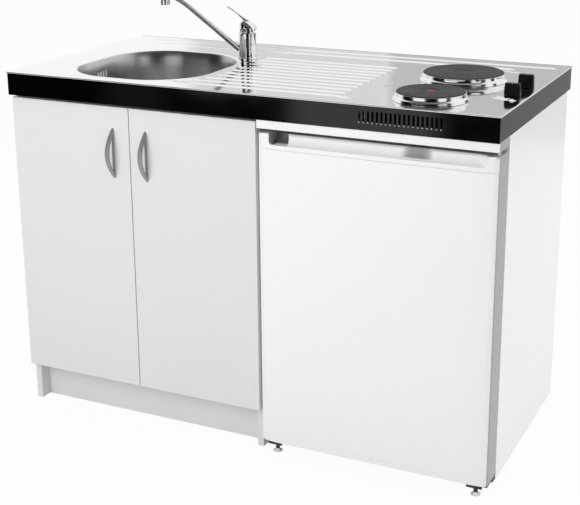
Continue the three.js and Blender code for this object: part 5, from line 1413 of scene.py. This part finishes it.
def make_lamp(name, place, target, size, power):
    data = bpy.data.lights.new(name, "AREA")
    data.shape = "RECTANGLE"
    data.size, data.size_y = size
    data.energy = power
    lamp = bpy.data.objects.new(name, data)
    lamp.location = place
    lamp.rotation_mode = "QUATERNION"
    lamp.rotation_quaternion = (Vector(target) - Vector(place)).to_track_quat("-Z", "Y")
    lamp.visible_glossy = False
    lamp.visible_camera = False
    scene.collection.objects.link(lamp)


# What shiny parts see round the room: panels as (from azimuth, to azimuth, bottom, top, level).
# Azimuths are in degrees from straight in front, towards the hob; a later panel covers an
# earlier one, and each edge fades over PANEL_FADE degrees.
SURROUND_RADIUS = 3.2
SURROUND_TOP = 3.0
PANEL_FADE = 1.5
PANELS = [
    (-75.0, 82.0, 0.0, 3.0, 0.0),
    (-36.0, -31.5, 0.0, 0.45, 0.12),
    (-21.0, -9.0, 0.0, 0.25, 1.0),
    (-29.0, 8.0, 0.25, 1.9, 1.0),
    (46.0, 69.0, 0.0, 2.2, 1.0),
    (73.0, 82.0, 0.0, 3.0, 0.05),
    (116.0, 150.0, 0.0, 0.8, 0.05),
    (150.0, 190.0, 0.0, 0.8, 0.45),
    (166.0, 197.0, 0.8, 2.0, 0.55),
    (197.0, 214.5, 0.8, 2.0, 0.72),
]


def panel_level(azimuth, height):
    level = 1.0
    for start, end, bottom, top, value in PANELS:
        if not bottom <= height <= top:
            continue
        share = clamp(min(azimuth - start, end - azimuth) / PANEL_FADE + 0.5)
        level += (value - level) * share
    return level


def card_finish():
    f = Finish("reflector_card")
    f.tree.nodes.remove(f.shader)
    level = f.tree.nodes.new("ShaderNodeAttribute")
    level.attribute_name = "level"
    glow = f.node("ShaderNodeEmission", Color=level.outputs["Color"], Strength=1.0)
    f.tree.links.new(glow.outputs[0], f.tree.nodes["Material Output"].inputs["Surface"])
    return f.material


CARD = card_finish()


def make_card(name, columns, levels):
    """A card over columns of points that only shiny surfaces see, as bright as its levels."""
    mesh = bpy.data.meshes.new(name)
    rows = len(columns[0])
    corners = [i * rows + k for i in range(len(columns) - 1) for k in range(rows - 1)]
    faces = [(a, a + rows, a + rows + 1, a + 1) for a in corners]
    mesh.from_pydata([point for column in columns for point in column], [], faces)
    shade = mesh.color_attributes.new("level", "FLOAT_COLOR", "POINT")
    for i, level in enumerate(levels):
        shade.data[i].color = (level, level, level, 1.0)
    card = new_object(name, mesh)
    card.data.materials.append(CARD)
    card.visible_camera = False
    card.visible_diffuse = False
    card.visible_shadow = False
    card.visible_transmission = False


CARD_STEP = 0.75
CARD_TURNS = [-130.0 + CARD_STEP * i for i in range(481)]
CARD_HEIGHTS = [0.0, 0.2499, 0.2501, 0.4499, 0.4501, 0.7999, 0.8001, 1.2, 1.8999, 1.9001,
                1.9999, 2.0001, 2.1999, 2.2001, SURROUND_TOP]


def make_surround():
    """A ring of dark and white cards round the room."""
    columns = []
    for angle in map(math.radians, CARD_TURNS):
        x, y = SURROUND_RADIUS * math.sin(angle), -SURROUND_RADIUS * math.cos(angle)
        columns.append([(x, y, z) for z in CARD_HEIGHTS])
    levels = [panel_level(turn, z) for turn in CARD_TURNS for z in CARD_HEIGHTS]
    make_card("reflector_cards", columns, levels)


CEILING_LEVEL = 0.12
CEILING_FRONT = 0.1
CEILING_FADE = 0.5
CEILING_STEPS = 64


def make_ceiling():
    """A card overhead, dark in front and white behind."""
    reach = SURROUND_RADIUS
    lines = [-reach + 2.0 * reach * i / CEILING_STEPS for i in range(CEILING_STEPS + 1)]
    columns = [[(x, y, SURROUND_TOP) for x in lines] for y in lines]
    levels = []
    for y in lines:
        share = clamp((y - CEILING_FRONT) / CEILING_FADE)
        levels += [CEILING_LEVEL + (1.0 - CEILING_LEVEL) * share] * len(lines)
    make_card("ceiling_card", columns, levels)


make_floor()
make_world()
make_surround()
make_ceiling()
make_lamp("key_softbox", (-0.5, -2.2, 1.8), (0.0, -0.2, 0.5), (1.3, 1.3), 18.0)
make_lamp("fill_softbox", (-0.9, -3.3, 1.4), (-0.2, -0.3, 0.5), (1.2, 1.2), 15.0)
make_lamp("side_softbox", (3.4, 0.9, 1.9), (0.5, 0.0, 0.5), (1.8, 1.8), 38.0)
make_lamp("top_softbox", (0.2, 0.4, 3.6), (0.0, 0.0, 0.8), (2.6, 2.0), 32.0)
